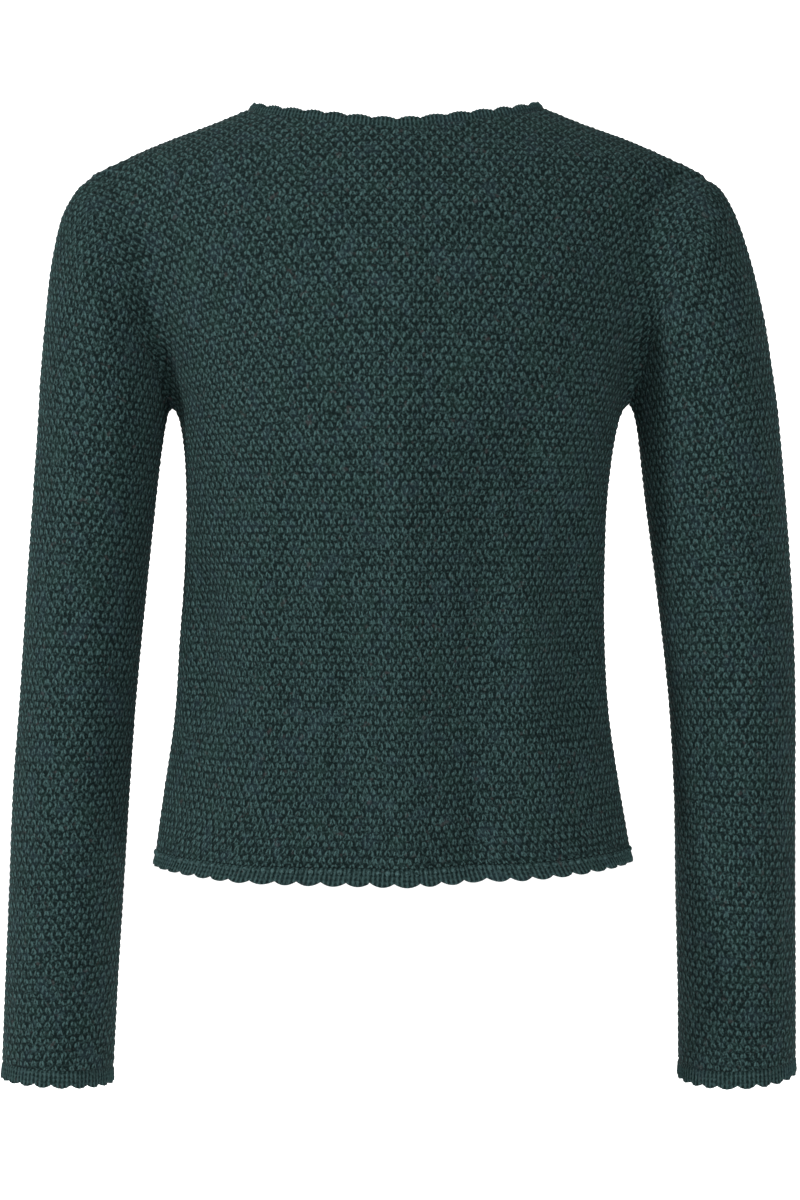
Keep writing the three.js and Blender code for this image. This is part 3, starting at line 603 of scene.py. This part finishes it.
def noise(tree, place, scale, detail, distortion=0.0):
    return node(tree, "ShaderNodeTexNoise", Vector=place, Scale=scale, Detail=detail,
                Distortion=distortion).outputs[0]


def blend(tree, amount, first, second):
    return node(tree, "ShaderNodeMix", {"data_type": "RGBA"}, _0=amount, _6=first, _7=second).outputs[2]


def new_group(name, inputs, outputs, kind="ShaderNodeTree"):
    tree = bpy.data.node_groups.new(name, kind)
    for way, sockets in (("INPUT", inputs), ("OUTPUT", outputs)):
        for socket_name, holds in sockets:
            tree.interface.new_socket(socket_name, in_out=way, socket_type="NodeSocket" + holds)
    return tree, tree.nodes.new("NodeGroupInput"), tree.nodes.new("NodeGroupOutput")


def wool_group():
    """Marled colour of the wool with a few blue and brown flecks: painted shade makes it dark between the
    yarns and painted light makes it light on them. Also the height of its loose fibres."""
    tree, given, made = new_group(
        "marled wool with painted yarn shade",
        [("Raised", "Float"), ("Dark", "Color"), ("Light", "Color")],
        [("Colour", "Color"), ("Fibres", "Float")],
    )
    place = tree.nodes.new("ShaderNodeTexCoord").outputs["Object"]
    fleck = noise(tree, place, 210.0, 2.0)
    patch = noise(tree, place, 75.0, 1.0)
    fibres = noise(tree, place, 620.0, 2.0)
    shade = maths(tree, "MULTIPLY_ADD", maths(tree, "SUBTRACT", fibres, 0.5), 2.5, given.outputs["Raised"])
    # Painted shade between the yarns and painted light on them: the share of light mixes the dark colour
    # into the light one, with the fibres' own random tone on top.
    colour = blend(tree, ramp(tree, shade, -0.15, 1.25), given.outputs["Dark"], given.outputs["Light"])
    colour = blend(tree, ramp(tree, fleck, 0.64, 0.74, 0.0, 0.4), colour, (0.038, 0.033, 0.034, 1))
    colour = blend(tree, ramp(tree, patch, 0.56, 0.7, 0.0, 0.12), colour, (0.024, 0.042, 0.06, 1))
    colour = blend(tree, ramp(tree, patch, 0.44, 0.3, 0.0, 0.12), colour, (0.012, 0.036, 0.026, 1))
    fill(tree, made, Colour=colour, Fibres=fibres)
    return tree


def pattern_group(name):
    """A group that reads stitch coordinates: its tree, its output node and the two coordinates."""
    sockets = [("Stitches", "Vector")], [("Raised", "Float"), ("Height", "Float")]
    tree, given, made = new_group(name, *sockets)
    apart = node(tree, "ShaderNodeSeparateXYZ", Vector=given.outputs["Stitches"])
    return tree, made, apart.outputs["X"], apart.outputs["Y"]


LEG_OFFSET = 1.35  # how far at most a leg stands from the middle of its knot
LEG_SLANT = 0.32
LEG_HALF_WIDTH = 0.92
LEG_HALF_HEIGHT = 2.0


def knots_group():
    """The yarn of the knitted panels from their stitch coordinates: two slanted legs on each knot,
    inside a diamond of its own, because the knots stand in staggered rows and reach past each other."""
    tree, made, u, v = pattern_group("staggered knots")
    do = partial(maths, tree)
    rising = do("ROUND", do("MULTIPLY_ADD", v, 0.5, u))
    falling = do("ROUND", do("MULTIPLY_ADD", v, -0.5, u))
    column = do("MULTIPLY", do("ADD", rising, falling), 0.5)
    row = do("SUBTRACT", rising, falling)
    across = do("SUBTRACT", u, column)
    side = do("GREATER_THAN", across, 0.0)
    cell = node(tree, "ShaderNodeCombineXYZ", X=rising, Y=falling, Z=side).outputs[0]
    chance = node(tree, "ShaderNodeTexWhiteNoise", Vector=cell)
    stray = node(tree, "ShaderNodeSeparateColor", Color=chance.outputs["Color"])
    right = do("MULTIPLY_ADD", do("ABSOLUTE", across), STITCH_WIDTH,
               do("MULTIPLY_ADD", stray.outputs["Red"], 0.4, -LEG_OFFSET))
    above = do("MULTIPLY_ADD", do("SUBTRACT", v, row), STITCH_HEIGHT,
               do("MULTIPLY_ADD", stray.outputs["Green"], 1.6, -0.8))
    beside = do("MULTIPLY_ADD", above, LEG_SLANT, right)
    reach = do("ADD", do("POWER", do("ABSOLUTE", do("DIVIDE", beside, LEG_HALF_WIDTH)), 2.0),
               do("POWER", do("ABSOLUTE", do("DIVIDE", above, LEG_HALF_HEIGHT)), 2.0))
    leg = do("MAXIMUM", do("SUBTRACT", 1.0, reach), 0.0)
    twist = do("MULTIPLY_ADD", beside, 1.6, do("MULTIPLY", stray.outputs["Blue"], 2.4))
    ply = do("COSINE", do("MULTIPLY_ADD", above, 2.73, twist))
    strand = do("MULTIPLY", leg, do("MULTIPLY_ADD", ply, -0.2, 0.85))
    # Painted light on the raised legs and on the knots' tops, and painted shade between them, given as the
    # share of light in the wool's colour; the legs' height also makes the bump.
    wave = do("MULTIPLY", do("COSINE", do("MULTIPLY", u, 2 * math.pi)),
              do("COSINE", do("MULTIPLY", v, math.pi)))
    lit = do("MULTIPLY", ramp(tree, strand, 0.1, 0.85),
             do("MULTIPLY_ADD", chance.outputs["Value"], 0.35, 0.62))
    fill(tree, made, Raised=do("ADD", lit, ramp(tree, wave, -0.9, 0.9, 0.0, 0.28)), Height=strand)
    return tree


WOOL = wool_group()
KNOTS = knots_group()
# The knitted panels' wool colours: painted shade between the yarns, and painted light on them.
SHADED_WOOL = (0.0022, 0.0062, 0.0062, 1)
LIT_WOOL = (0.0365, 0.0745, 0.0735, 1)


def wool_material(name, dark, light, relief, pattern=None):
    """Plain yarn, or wool with a faint sheen whose raised parts come from a pattern group that is read with
    the piece's own UV map and are painted lighter than the painted shade between them."""
    material, tree, finish = new_material(name, Roughness=0.92, Specular_IOR_Level=0.06)
    wool = node(tree, "ShaderNodeGroup", {"node_tree": WOOL}, Raised=0.5, Dark=dark, Light=light)
    height = wool.outputs["Fibres"]
    if pattern:
        fill(tree, finish, Sheen_Weight=0.03, Sheen_Roughness=0.5, Sheen_Tint=(0.55, 0.85, 0.85, 1))
        where = node(tree, "ShaderNodeUVMap", {"uv_map": "stitches"}).outputs["UV"]
        made = node(tree, "ShaderNodeGroup", {"node_tree": pattern}, Stitches=where)
        fill(tree, wool, Raised=made.outputs["Raised"])
        height = maths(tree, "MULTIPLY_ADD", height, 0.5, made.outputs["Height"])
    bump = node(tree, "ShaderNodeBump", Strength=1.0, Distance=relief, Height=height)
    fill(tree, finish, Base_Color=wool.outputs["Colour"], Normal=bump.outputs[0])
    return material


knit_wool = wool_material("knotted green wool", SHADED_WOOL, LIT_WOOL, 0.0007, KNOTS)


back = trunk_lattice("back")
back_panel = knit_shell("back_panel_knit", back, back["outside"])
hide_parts("back_panel")


# Fronts: two panels in the same knit, with deeper necklines, sewn to the back at the sides and the
# shoulders. They meet behind the front bands.
FRONT_START = {"left": 15.1, "right": 11.2}  # where each front begins beside the middle line

front = trunk_lattice("front")


def front_outside(hand):
    """How far each point lies outside one of the fronts, whose straight edge runs beside its band."""
    beside_band = FRONT_START[hand] - HANDS[hand] * front["points"][..., 0]
    return np.maximum(front["outside"], beside_band)


for hand in HANDS:
    panel = knit_shell(f"front_panel_knit_{hand}", front, front_outside(hand))
    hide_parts(f"front_{hand}")


# Sleeves: long, set in, knitted flat in the same stitch and sewn together along the inside of the
# arm. Their heads are sewn into the armholes.
CUFF_Z = {"left": -627.2, "right": -623.4}
CUFF_TILT = 1.8  # how much higher a cuff ends at its outer side than at its middle
CUFF_SLANT = {"left": 1, "right": 5}  # how much lower it ends at the back
CUFF_CURVE_Z = -400  # level below which the rows take on these slants
SLEEVE_COLUMNS = 112
SLEEVE_ROW_STEP = 1.64
# The rows run square to the arm, so they slope outwards at the sleeve head and inwards at the cuff.
ROW_SLOPE = curves(["z", "slope"], [
    [-620, -0.1], [-487, -0.09], [-402, 0], [-318, 0.08], [-233, 0.13], [-149, 0.29], [-60, 0.35],
])["slope"]


def sleeve_lattice(hand):
    """A lattice of points on a whole sleeve: closed rings up to the underarm, the open cap above it."""
    sign = HANDS[hand]
    profile_z = np.arange(CUFF_Z[hand], ARM_TOP_Z - 0.4, 0.5)
    profile = np.stack([read(ARMS[hand + " out"], profile_z), profile_z], -1)
    levels = by_length(profile, np.arange(0, line_length(profile), SLEEVE_ROW_STEP))[:, 1]
    columns = np.arange(SLEEVE_COLUMNS + 1) * COLUMN_STEP
    points = np.zeros((len(levels), 2 * SLEEVE_COLUMNS + 1, 3))
    outside = np.zeros(points.shape[:2])
    low = levels <= UNDERARM_Z[hand]
    for facing in (1, -1):
        turn = np.radians(np.arange(0, 186.5, 1.5)) * facing
        way = np.stack([sign * np.cos(turn), np.sin(turn), 0 * turn], -1)
        z = levels[low]
        inner = read(ARMS[hand + " in"], z)
        outer = read(ARMS[hand + " out"], z)
        centre = (inner + outer) / 2
        centre_y = read(ARMS["y"], z)
        starts = np.stack([sign * centre, centre_y, z], -1)[:, None]
        reach = (centre - between_x(hand, z))[:, None] / np.maximum(-np.cos(turn), 1e-3)
        rings = leave(starts, way[None], np.minimum(reach, FAR))
        near_cuff = np.maximum(0, (CUFF_CURVE_Z - z) / (CUFF_CURVE_Z - CUFF_Z[hand]))[:, None]
        half = ((outer - inner) / 2)[:, None]
        shift_x = rings[..., 0] - sign * centre[:, None]
        shift_y = rings[..., 1] - centre_y[:, None]
        rings[..., 2] += near_cuff * CUFF_TILT * sign * shift_x / half
        rings[..., 2] -= near_cuff * CUFF_SLANT[hand] * shift_y / half
        seam = np.argmin(np.abs(np.abs(turn) - np.pi))
        lines = []
        ends = []
        for ring in rings:
            lines.append(by_length(ring, columns))
            ends.append(line_length(ring[:seam + 1]))
        turn = np.radians(np.arange(0, 135, 0.75)) * facing
        way = np.stack([sign * np.cos(turn), np.sin(turn), 0 * turn], -1)
        z = levels[~low]
        starts = np.stack([sign * armhole_x(hand, z), 0 * z, z], -1)[:, None]
        for cap in leave(starts, way[None]):
            lines.append(by_length(cap, columns))
        lines = np.array(lines)
        beyond = np.concatenate([
            columns[None] - np.array(ends)[:, None],
            armhole_x(hand, z)[:, None] - sign * lines[low.sum():, :, 0],
        ])
        from_middle = slice(SLEEVE_COLUMNS, None, facing)
        points[:, from_middle] = lines
        outside[:, from_middle] = beyond
    columns = np.arange(-SLEEVE_COLUMNS, SLEEVE_COLUMNS + 1) / ACROSS
    rows = np.arange(len(levels)) / UP
    stitches = np.stack(np.meshgrid(columns, rows), -1)
    x, z = points[..., 0], points[..., 2]
    off_axis = sign * x - (read(ARMS[hand + " in"], z) + read(ARMS[hand + " out"], z)) / 2
    stitches[..., 1] -= read(ROW_SLOPE, z) * off_axis / STITCH_HEIGHT
    return {"points": points, "outside": outside, "stitches": stitches}


SLEEVES = {}
for hand in HANDS:
    lattice = sleeve_lattice(hand)
    SLEEVES[hand] = lattice
    sleeve = knit_shell(f"sleeve_knit_{hand}", lattice, lattice["outside"])
    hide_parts(f"sleeve_{hand}")


# Rib edgings: knitted on along the hem, the cuffs and the neck, in narrow upright ribs. The free edge
# runs in uneven scallops, and a row of small round knots closes the hem's rib at its top.
RIB_STEPS = 4  # mesh columns in a rib
RIB_ROWS = 10
RIB_RELIEF = 0.42
GROOVE = 0.85  # depth of the groove between a panel and its edging
OVERLAP = 0.08  # how far an edging reaches into its seam with the panel
HEM_EDGING = {"height": 12, "deep": 3.0, "pitch": (13.4, 16.2), "rib": 3.0, "lean": 0.05}
CUFF_EDGING = {"height": 12, "deep": 2.6, "pitch": (11.2, 13.8), "rib": 2.9, "lean": 0.04}
NECK_EDGING = {"height": 7.4, "deep": 1.9, "pitch": (15.2, 18), "rib": 2.75, "lean": 0}
NECK_RISE = 0.4  # how much steeper than the shoulder the neck's edging stands


def ribs_group():
    """Upright ribs from coordinates whose first counts ribs and whose second is the height in mm."""
    tree, made, x, y = pattern_group("upright ribs")
    do = partial(maths, tree)
    off = do("ABSOLUTE", do("SUBTRACT", x, do("ROUND", x)))
    crown = do("COSINE", do("MULTIPLY", off, 2 * math.pi))
    loop = do("SINE", do("ADD", do("MULTIPLY", y, 2.1), do("MULTIPLY", off, 5.0)))
    height = do("ADD", do("MULTIPLY", crown, 0.5), do("MULTIPLY", loop, 0.22))
    # Painted light on the ribs' crowns and painted shade in the grooves between them, as the share of light
    # in the wool's colour; the same height makes the bump.
    fill(tree, made, Raised=ramp(tree, height, -0.7, 0.7), Height=do("MULTIPLY", height, 1.2))
    return tree


# The ribs go from painted shade in their grooves to painted light on their crowns; in the plain yarn further
# down, the same dark colour is only the fibres' own darker tone.
DARK_YARN_AND_GROOVE_SHADE = (0.004, 0.011, 0.011, 1)
rib_wool = wool_material("ribbed green wool", DARK_YARN_AND_GROOVE_SHADE, (0.0275, 0.0555, 0.055, 1), 0.0006, ribs_group())


def row_end(points, outside, j, direction):
    """The point where a lattice row meets its seam, from column j on."""
    t = (outside[j] + HALF_SEAM) / (outside[j] - outside[j + direction])
    return points[j] + (points[j + direction] - points[j]) * t


def rim_line(lattice, outside):
    """The lowest row between its seams, and the way in which an edging grows on from it."""
    points = lattice["points"][0]
    above = lattice["points"][1]
    ins = np.flatnonzero(outside[0] < 0)
    first, last = ins[0], ins[-1]
    line = np.concatenate([
        [row_end(points, outside[0], first, -1)],
        points[first:last + 1],
        [row_end(points, outside[0], last, 1)],
    ])
    grow = (points - above)[first:last + 1]
    return line, unit(np.concatenate([grow[:1], grow, grow[-1:]]))


def scallops(length, pitch, seed):
    """Where each scallop ends along an edge of the given length."""
    chance = np.random.default_rng(seed)
    ends = [0.0]
    while ends[-1] < length:
        ends.append(ends[-1] + chance.uniform(*pitch))
    return np.array(ends) * length / ends[-1]


def grid_shell(name, outer, middle, way, where, solid, inner_step, cell):
    """A closed shell from a full grid of points; solid says which of its cells are cloth."""
    number = np.arange(solid.size + sum(solid.shape) + 1).reshape(solid.shape[0] + 1, -1)
    a, b = number[:-1, :-1][solid], number[:-1, 1:][solid]
    c, d = number[1:, 1:][solid], number[1:, :-1][solid]
    triangles = np.concatenate([np.stack([a, b, c], -1), np.stack([a, c, d], -1)])
    outer, middle, way = (grid.reshape(-1, 3) for grid in (outer, middle, way))
    triangles = turned_out(middle, triangles, way)
    whole = solid[:-1, :-1] & solid[1:, :-1] & solid[:-1, 1:] & solid[1:, 1:]
    whole[:1] = whole[-1:] = whole[:, :2] = whole[:, -2:] = False
    coarse = np.zeros(whole.shape, bool)
    coarse[::inner_step, ::inner_step] = True
    return close_shell(name, rib_wool, outer, middle, way, where.reshape(-1, 2), triangles,
                       number[1:-1, 1:-1][whole & coarse], cell)


def edging(name, line, grow, sizes, seed):
    """A ribbed strip that grows from a line of points and ends in scallops."""
    run = np.concatenate([[0], np.cumsum(np.linalg.norm(np.diff(line, axis=0), axis=1))])
    ribs = int(round(run[-1] / sizes["rib"]))
    count = ribs * RIB_STEPS
    at = np.linspace(0, run[-1], count + 1)
    foot = by_length(line, at)
    way = np.stack([np.interp(at, run, grow[:, k]) for k in range(3)], -1)
    panel_out = outward(foot)
    way = unit(way + panel_out * sizes["lean"])
    out = unit(panel_out - way * (panel_out * way).sum(1, keepdims=True))
    ends = scallops(run[-1], sizes["pitch"], seed)
    i = np.clip(np.searchsorted(ends, at, side="right") - 1, 0, len(ends) - 2)
    share = (at - ends[i]) / (ends[i + 1] - ends[i])
    chance = np.random.default_rng(seed + 1)
    cut = sizes["deep"] * chance.uniform(0.75, 1.1, len(ends))[i]
    reach = sizes["height"] - cut * (1 - np.sin(np.pi * share) ** 0.8)
    levels = np.linspace(0, 1, RIB_ROWS + 1)[:, None]
    height = reach * levels - OVERLAP
    middle = foot[None] + way[None] * height[..., None]
    ribs_at = at / sizes["rib"]
    lift = RIB_RELIEF * np.cos(2 * np.pi * ribs_at)[None] * smooth_step(height, 1.2, 3.5)
    lift = lift + 0.1 * np.sin(2 * np.pi * (height / 2.9 + np.abs(ribs_at - np.round(ribs_at))))
    lift = lift - GROOVE * np.exp(-((height / 1.1) ** 2)) - 0.5 * levels**14
    ripple = 0.5 * np.sin(np.pi * share)[None] * levels**2
    away = smooth_step(height, 0, 4)[..., None]
    ways = unit(panel_out[None] * (1 - away) + out[None] * away)
    outer = middle + ways * (lift + ripple)[..., None]
    where = np.stack(np.broadcast_arrays(ribs_at[None], height), -1)
    strip = grid_shell(name, outer, middle, ways, where, np.ones((RIB_ROWS, count), bool), 3,
                       (sizes["rib"], 1))
    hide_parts(name.replace("_ribs", ""))
    return strip


left_line, left_grow = rim_line(front, front_outside("left"))
back_line, back_grow = rim_line(back, back["outside"])
right_line, right_grow = rim_line(front, front_outside("right"))
hem_line = np.concatenate([left_line, back_line[::-1], right_line])
hem_grow = np.concatenate([left_grow, back_grow[::-1], right_grow])
edging("hem_edging_ribs", hem_line, hem_grow, HEM_EDGING, 5)


def neckline(side, xs):
    """Points of the neckline, and the way in which its edging stands up from them."""
    turn = top_turn(side, xs)
    starts = np.stack([xs, 0 * xs, 0 * xs + PIVOT_Z], -1)
    way = np.stack([0 * xs, SIDES[side] * np.cos(turn), np.sin(turn)], -1)
    line = leave(starts, way)
    grow = unit(np.cross(outward(line), np.gradient(line, axis=0)))
    grow *= np.sign(grow[:, 2:3])
    if side == "front":
        grow[:, 0] *= smooth_step(np.abs(xs), 16, 45)
    grow[:, 2] += NECK_RISE
    return line, unit(grow)


quarter = np.sin(np.linspace(0, np.pi / 2, 60)) * (NECK_HALF_WIDTH - HALF_SEAM)
front_left, front_right = (
    HANDS[hand] * np.concatenate([[FRONT_START[hand]], quarter[quarter > FRONT_START[hand]]])
    for hand in HANDS
)
back_neck = np.concatenate([quarter[::-1], -quarter[1:]])
parts = [neckline("front", front_left), neckline("back", back_neck), neckline("front", front_right[::-1])]
neck_line = np.concatenate([line for line, _ in parts])
neck_grow = np.concatenate([grow for _, grow in parts])
neck = edging("neck_edging_ribs", neck_line, neck_grow, NECK_EDGING, 11)

for hand in HANDS:
    line, grow = rim_line(SLEEVES[hand], SLEEVES[hand]["outside"])
    edging(f"cuff_edging_{hand}_ribs", line, grow, CUFF_EDGING, 21 + HANDS[hand])


# The hem's knots: one small round knot after another along the whole hem, wound from the same dark
# yarn. They are knitted in with the first row of the ribs, just below the groove.
KNOT_SPACING = 6.05
KNOT_RADIUS = 1.75
KNOT_DROP = 2.9  # how far the knots stand below the seam
KNOT_SINK = 0.25  # how far their middles lie behind the panel's face


def yarn_group(name, inputs, shape):
    """A geometry group that turns a path into smooth yarn of the given wool, by the given shape."""
    sockets = [("Path", "Geometry")] + inputs + [("Wool", "Material")]
    tree, given, made = new_group(name, sockets, [("Yarn", "Geometry")], "GeometryNodeTree")
    path = node(tree, "GeometryNodeMeshToCurve", Mesh=given.outputs["Path"])
    real = node(tree, "GeometryNodeRealizeInstances", Geometry=shape(tree, given, path.outputs[0]))
    soft = node(tree, "GeometryNodeSetShadeSmooth", Geometry=real.outputs[0])
    dyed = node(tree, "GeometryNodeSetMaterial", Geometry=soft.outputs[0], Material=given.outputs["Wool"])
    fill(tree, made, Yarn=dyed.outputs[0])
    return tree


def round_knots(tree, given, path):
    """Low round knots at every step along the path, no two quite as large."""
    steps = node(tree, "GeometryNodeResampleCurve", {"mode": "LENGTH"}, Curve=path,
                 Length=given.outputs["Spacing"])
    knot = node(tree, "GeometryNodeMeshUVSphere", Segments=8, Rings=5, Radius=given.outputs["Radius"])
    size = node(tree, "FunctionNodeRandomValue", {"data_type": "FLOAT"}, _2=0.85, _3=1.15,
                Seed=given.outputs["Seed"])
    placed = node(tree, "GeometryNodeInstanceOnPoints", Points=steps.outputs[0],
                  Instance=knot.outputs["Mesh"], Scale=size.outputs[1])
    return placed.outputs[0]


def grown(name, points, edges, tree, values):
    """A plain mesh made by a geometry tree from a path of points."""
    mesh = bpy.data.meshes.new(name + " path")
    mesh.from_pydata((np.array(points) * MM).tolist(), edges, [])
    path = new_object(name + " path", mesh)
    modifier = path.modifiers.new("made", "NODES")
    modifier.node_group = tree
    for item in tree.interface.items_tree:
        if item.item_type == "SOCKET" and item.in_out == "INPUT" and item.name in values:
            modifier[item.identifier] = values[item.name]
    path.update_tag()
    evaluated = path.evaluated_get(bpy.context.evaluated_depsgraph_get())
    result = bpy.data.meshes.new_from_object(evaluated)
    result.name = name
    result.materials.clear()
    result.materials.append(values["Wool"])
    result.polygons.foreach_set("material_index", [0] * len(result.polygons))
    bpy.data.objects.remove(path)
    obj = new_object(name, result)
    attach(obj, "root")
    return obj


yarn = wool_material("dark green yarn", DARK_YARN_AND_GROOVE_SHADE, (0.05, 0.096, 0.096, 1), 0.0006)
knot_line = hem_line + hem_grow * KNOT_DROP - outward(hem_line) * KNOT_SINK
knot_row = yarn_group("row of round knots", [("Spacing", "Float"), ("Radius", "Float"), ("Seed", "Int")],
                      round_knots)
hem_knots = grown("hem_edging_knots", knot_line, [(k, k + 1) for k in range(len(knot_line) - 1)], knot_row,
                  {"Spacing": KNOT_SPACING * MM, "Radius": KNOT_RADIUS * MM, "Seed": 3, "Wool": yarn})


# Front bands: two straight strips in plain garter ridges, knitted on along both front edges. The right
# one has seven buttonholes and laps over the left one, which carries the buttons.
BAND_HALF_WIDTH = 11
BAND_DEPTH = 2.9  # how far the under band lies behind the over band
RIDGE = 3.2  # height of one garter ridge
SLOT_LENGTH = 15
SLOT_HEIGHT = 1
FIRST_BUTTON = 22  # from the band's top to the first button's middle
LAST_BUTTON = 26  # from the band's foot to the last button's middle
BUTTONS = 7
BAND_ROW_STEP = 0.8


def band_column(x):
    """The front's outer face at a given x, from 12 mm below its lowest row to 7.4 mm above its neckline."""
    grid = front["points"]
    line = np.array([[x] + [np.interp(x, row[:, 0], row[:, k]) for k in (1, 2)] for row in grid])
    beyond = np.array([np.interp(x, row[:, 0], out) for row, out in zip(grid, front["outside"])])
    end = np.flatnonzero(beyond > 0)[0]
    t = beyond[end - 1] / (beyond[end - 1] - beyond[end])
    line = np.concatenate([line[:end], [line[end - 1] + (line[end] - line[end - 1]) * t]])
    return np.concatenate([
        [line[0] + unit(line[0] - line[4]) * HEM_EDGING["height"]],
        line,
        [line[-1] + unit(line[-1] - line[-4]) * NECK_EDGING["height"]],
    ])


def band(name, xs, depths, slots):
    """A strip through the given columns, each moved in by its depth, with slots at the given heights."""
    columns = [band_column(x) for x in xs]
    length = line_length(band_column(0))
    stops = [0.0]
    for at in slots:
        stops += [at - SLOT_HEIGHT / 2, at + SLOT_HEIGHT / 2]
    stops.append(length)
    heights = [0.0]
    for low, high in zip(stops, stops[1:]):
        count = 1 if high - low < 1.01 * SLOT_HEIGHT else round((high - low) / BAND_ROW_STEP)
        heights += list(np.linspace(low, high, count + 1)[1:])
    heights = np.array(heights)
    face = np.stack([by_length(line, heights * line_length(line) / length) for line in columns], axis=1)
    way = unit(outward(face) * (0, 1, 1))
    middle = face - way * np.array(depths)[None, :, None]
    xs = np.array(xs)
    solid = np.ones((len(heights) - 1, len(xs) - 1), bool)
    in_slot = (np.abs(xs[:-1]) < SLOT_LENGTH / 2 + 0.01) & (np.abs(xs[1:]) < SLOT_LENGTH / 2 + 0.01)
    near_slot = np.zeros(face.shape[:2])
    for at in slots:
        row = np.argmin(np.abs(heights - (at - SLOT_HEIGHT / 2)))
        solid[row, in_slot] = False
        away = np.hypot(np.maximum(np.abs(xs)[None] - SLOT_LENGTH / 2, 0), (heights[:, None] - at) / 1.3)
        near_slot = np.maximum(near_slot, np.exp(-((away - 0.6) ** 2) / 2.2))
    ridge = RIB_RELIEF * np.cos(2 * np.pi * heights / RIDGE)[:, None]
    edge = np.exp(-((BAND_HALF_WIDTH - np.abs(xs)) / 0.8) ** 2)
    lift = ridge * (1 - edge) * (1 - near_slot) - 0.5 * edge + 0.3 * near_slot
    outer = middle + way * lift[..., None]
    where = np.stack(np.broadcast_arrays(heights[:, None] / RIDGE, xs[None]), -1)
    strip = grid_shell(name, outer, middle, way, where, solid, 4, (RIDGE, 1))
    return strip


BAND_RUN = line_length(band_column(0))
button_heights = np.linspace(LAST_BUTTON, BAND_RUN - FIRST_BUTTON, BUTTONS)
edge_xs = np.linspace(SLOT_LENGTH / 2, BAND_HALF_WIDTH, 5)
over_xs = np.concatenate([-edge_xs[::-1], np.linspace(-SLOT_LENGTH / 2, SLOT_LENGTH / 2, 13)[1:-1], edge_xs])
over_band = band("buttonhole_band_knit", over_xs, 0 * over_xs, button_heights)
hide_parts("buttonhole_band")
under_xs = np.concatenate([np.linspace(-10.5, 11.4, 20), [12.5, 13.6, 14.64]])
under_depths = BAND_DEPTH * (1 - smooth_step(under_xs, 11.4, 14.64))
under_band = band("button_band_knit", under_xs, under_depths, [])
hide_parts("button_band")


# Buttons: seven round ones turned from dark horn, with a raised rim and four holes, sewn on with the
# wool of the cardigan in two stitches each.
def horn_material():
    """Cloudy dark horn, turned and left without polish."""
    material, tree, finish = new_material("dark horn", Specular_IOR_Level=0.2)
    place = tree.nodes.new("ShaderNodeTexCoord").outputs["Object"]
    stretched = node(tree, "ShaderNodeVectorMath", {"operation": "MULTIPLY"}, _0=place, _1=(1.0, 1.0, 3.2))
    cloudy = noise(tree, stretched.outputs[0], 95.0, 3.0, 1.2)
    grain = noise(tree, stretched.outputs[0], 900.0, 2.0)
    colour = blend(tree, ramp(tree, cloudy, 0.35, 0.65), (0.009, 0.005, 0.004, 1), (0.038, 0.019, 0.01, 1))
    bump = node(tree, "ShaderNodeBump", Strength=0.6, Distance=0.0001, Height=grain)
    fill(tree, finish, Base_Color=colour, Roughness=ramp(tree, grain, 0.3, 0.7, 0.5, 0.65),
         Normal=bump.outputs[0])
    return material


def round_tubes(tree, given, path):
    """Round lengths of yarn along the paths."""
    ring = node(tree, "GeometryNodeCurvePrimitiveCircle", Resolution=8, Radius=given.outputs["Radius"])
    tube = node(tree, "GeometryNodeCurveToMesh", Curve=path, Profile_Curve=ring.outputs[0], Fill_Caps=True)
    return tube.outputs[0]


HOLE = 2.1  # how far a button's holes stand from its middle
YARN_RADIUS = 0.55
STITCH_RISE = 0.25  # how far the middle of a stitch's thread lies above the button's face
STITCH_DIVE = 2.6  # how far its two ends go down into the holes
horn = horn_material()
threads = yarn_group("lengths of yarn", [("Radius", "Float")], round_tubes)
for number in range(1, BUTTONS + 1):
    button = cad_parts[f"button_{number}"]
    for material_slot in button.material_slots:
        material_slot.link = "OBJECT"
        material_slot.material = horn
    corners = np.array([v.co for v in button.data.vertices]) / MM
    centre = (corners.max(0) + corners.min(0)) / 2
    out = np.linalg.eigh(np.cov((corners - centre).T))[1][:, 0]
    out *= -np.sign(out[1])
    aside = np.array([1.0, 0, 0])
    up = np.cross(out, aside)
    face = centre + out * ((corners - centre) @ out).max()
    points = []
    edges = []
    for x in (-HOLE, HOLE):
        for k, t in enumerate(np.linspace(-1, 1, 13)):
            rise = STITCH_RISE - STITCH_DIVE * abs(t) ** 6
            if k:
                edges.append((len(points) - 1, len(points)))
            points.append(face + aside * x + up * t * (HOLE + 0.1) + out * rise)
    stitch = grown(f"button_{number}_thread", points, edges, threads,
                   {"Radius": YARN_RADIUS * MM, "Wool": yarn})
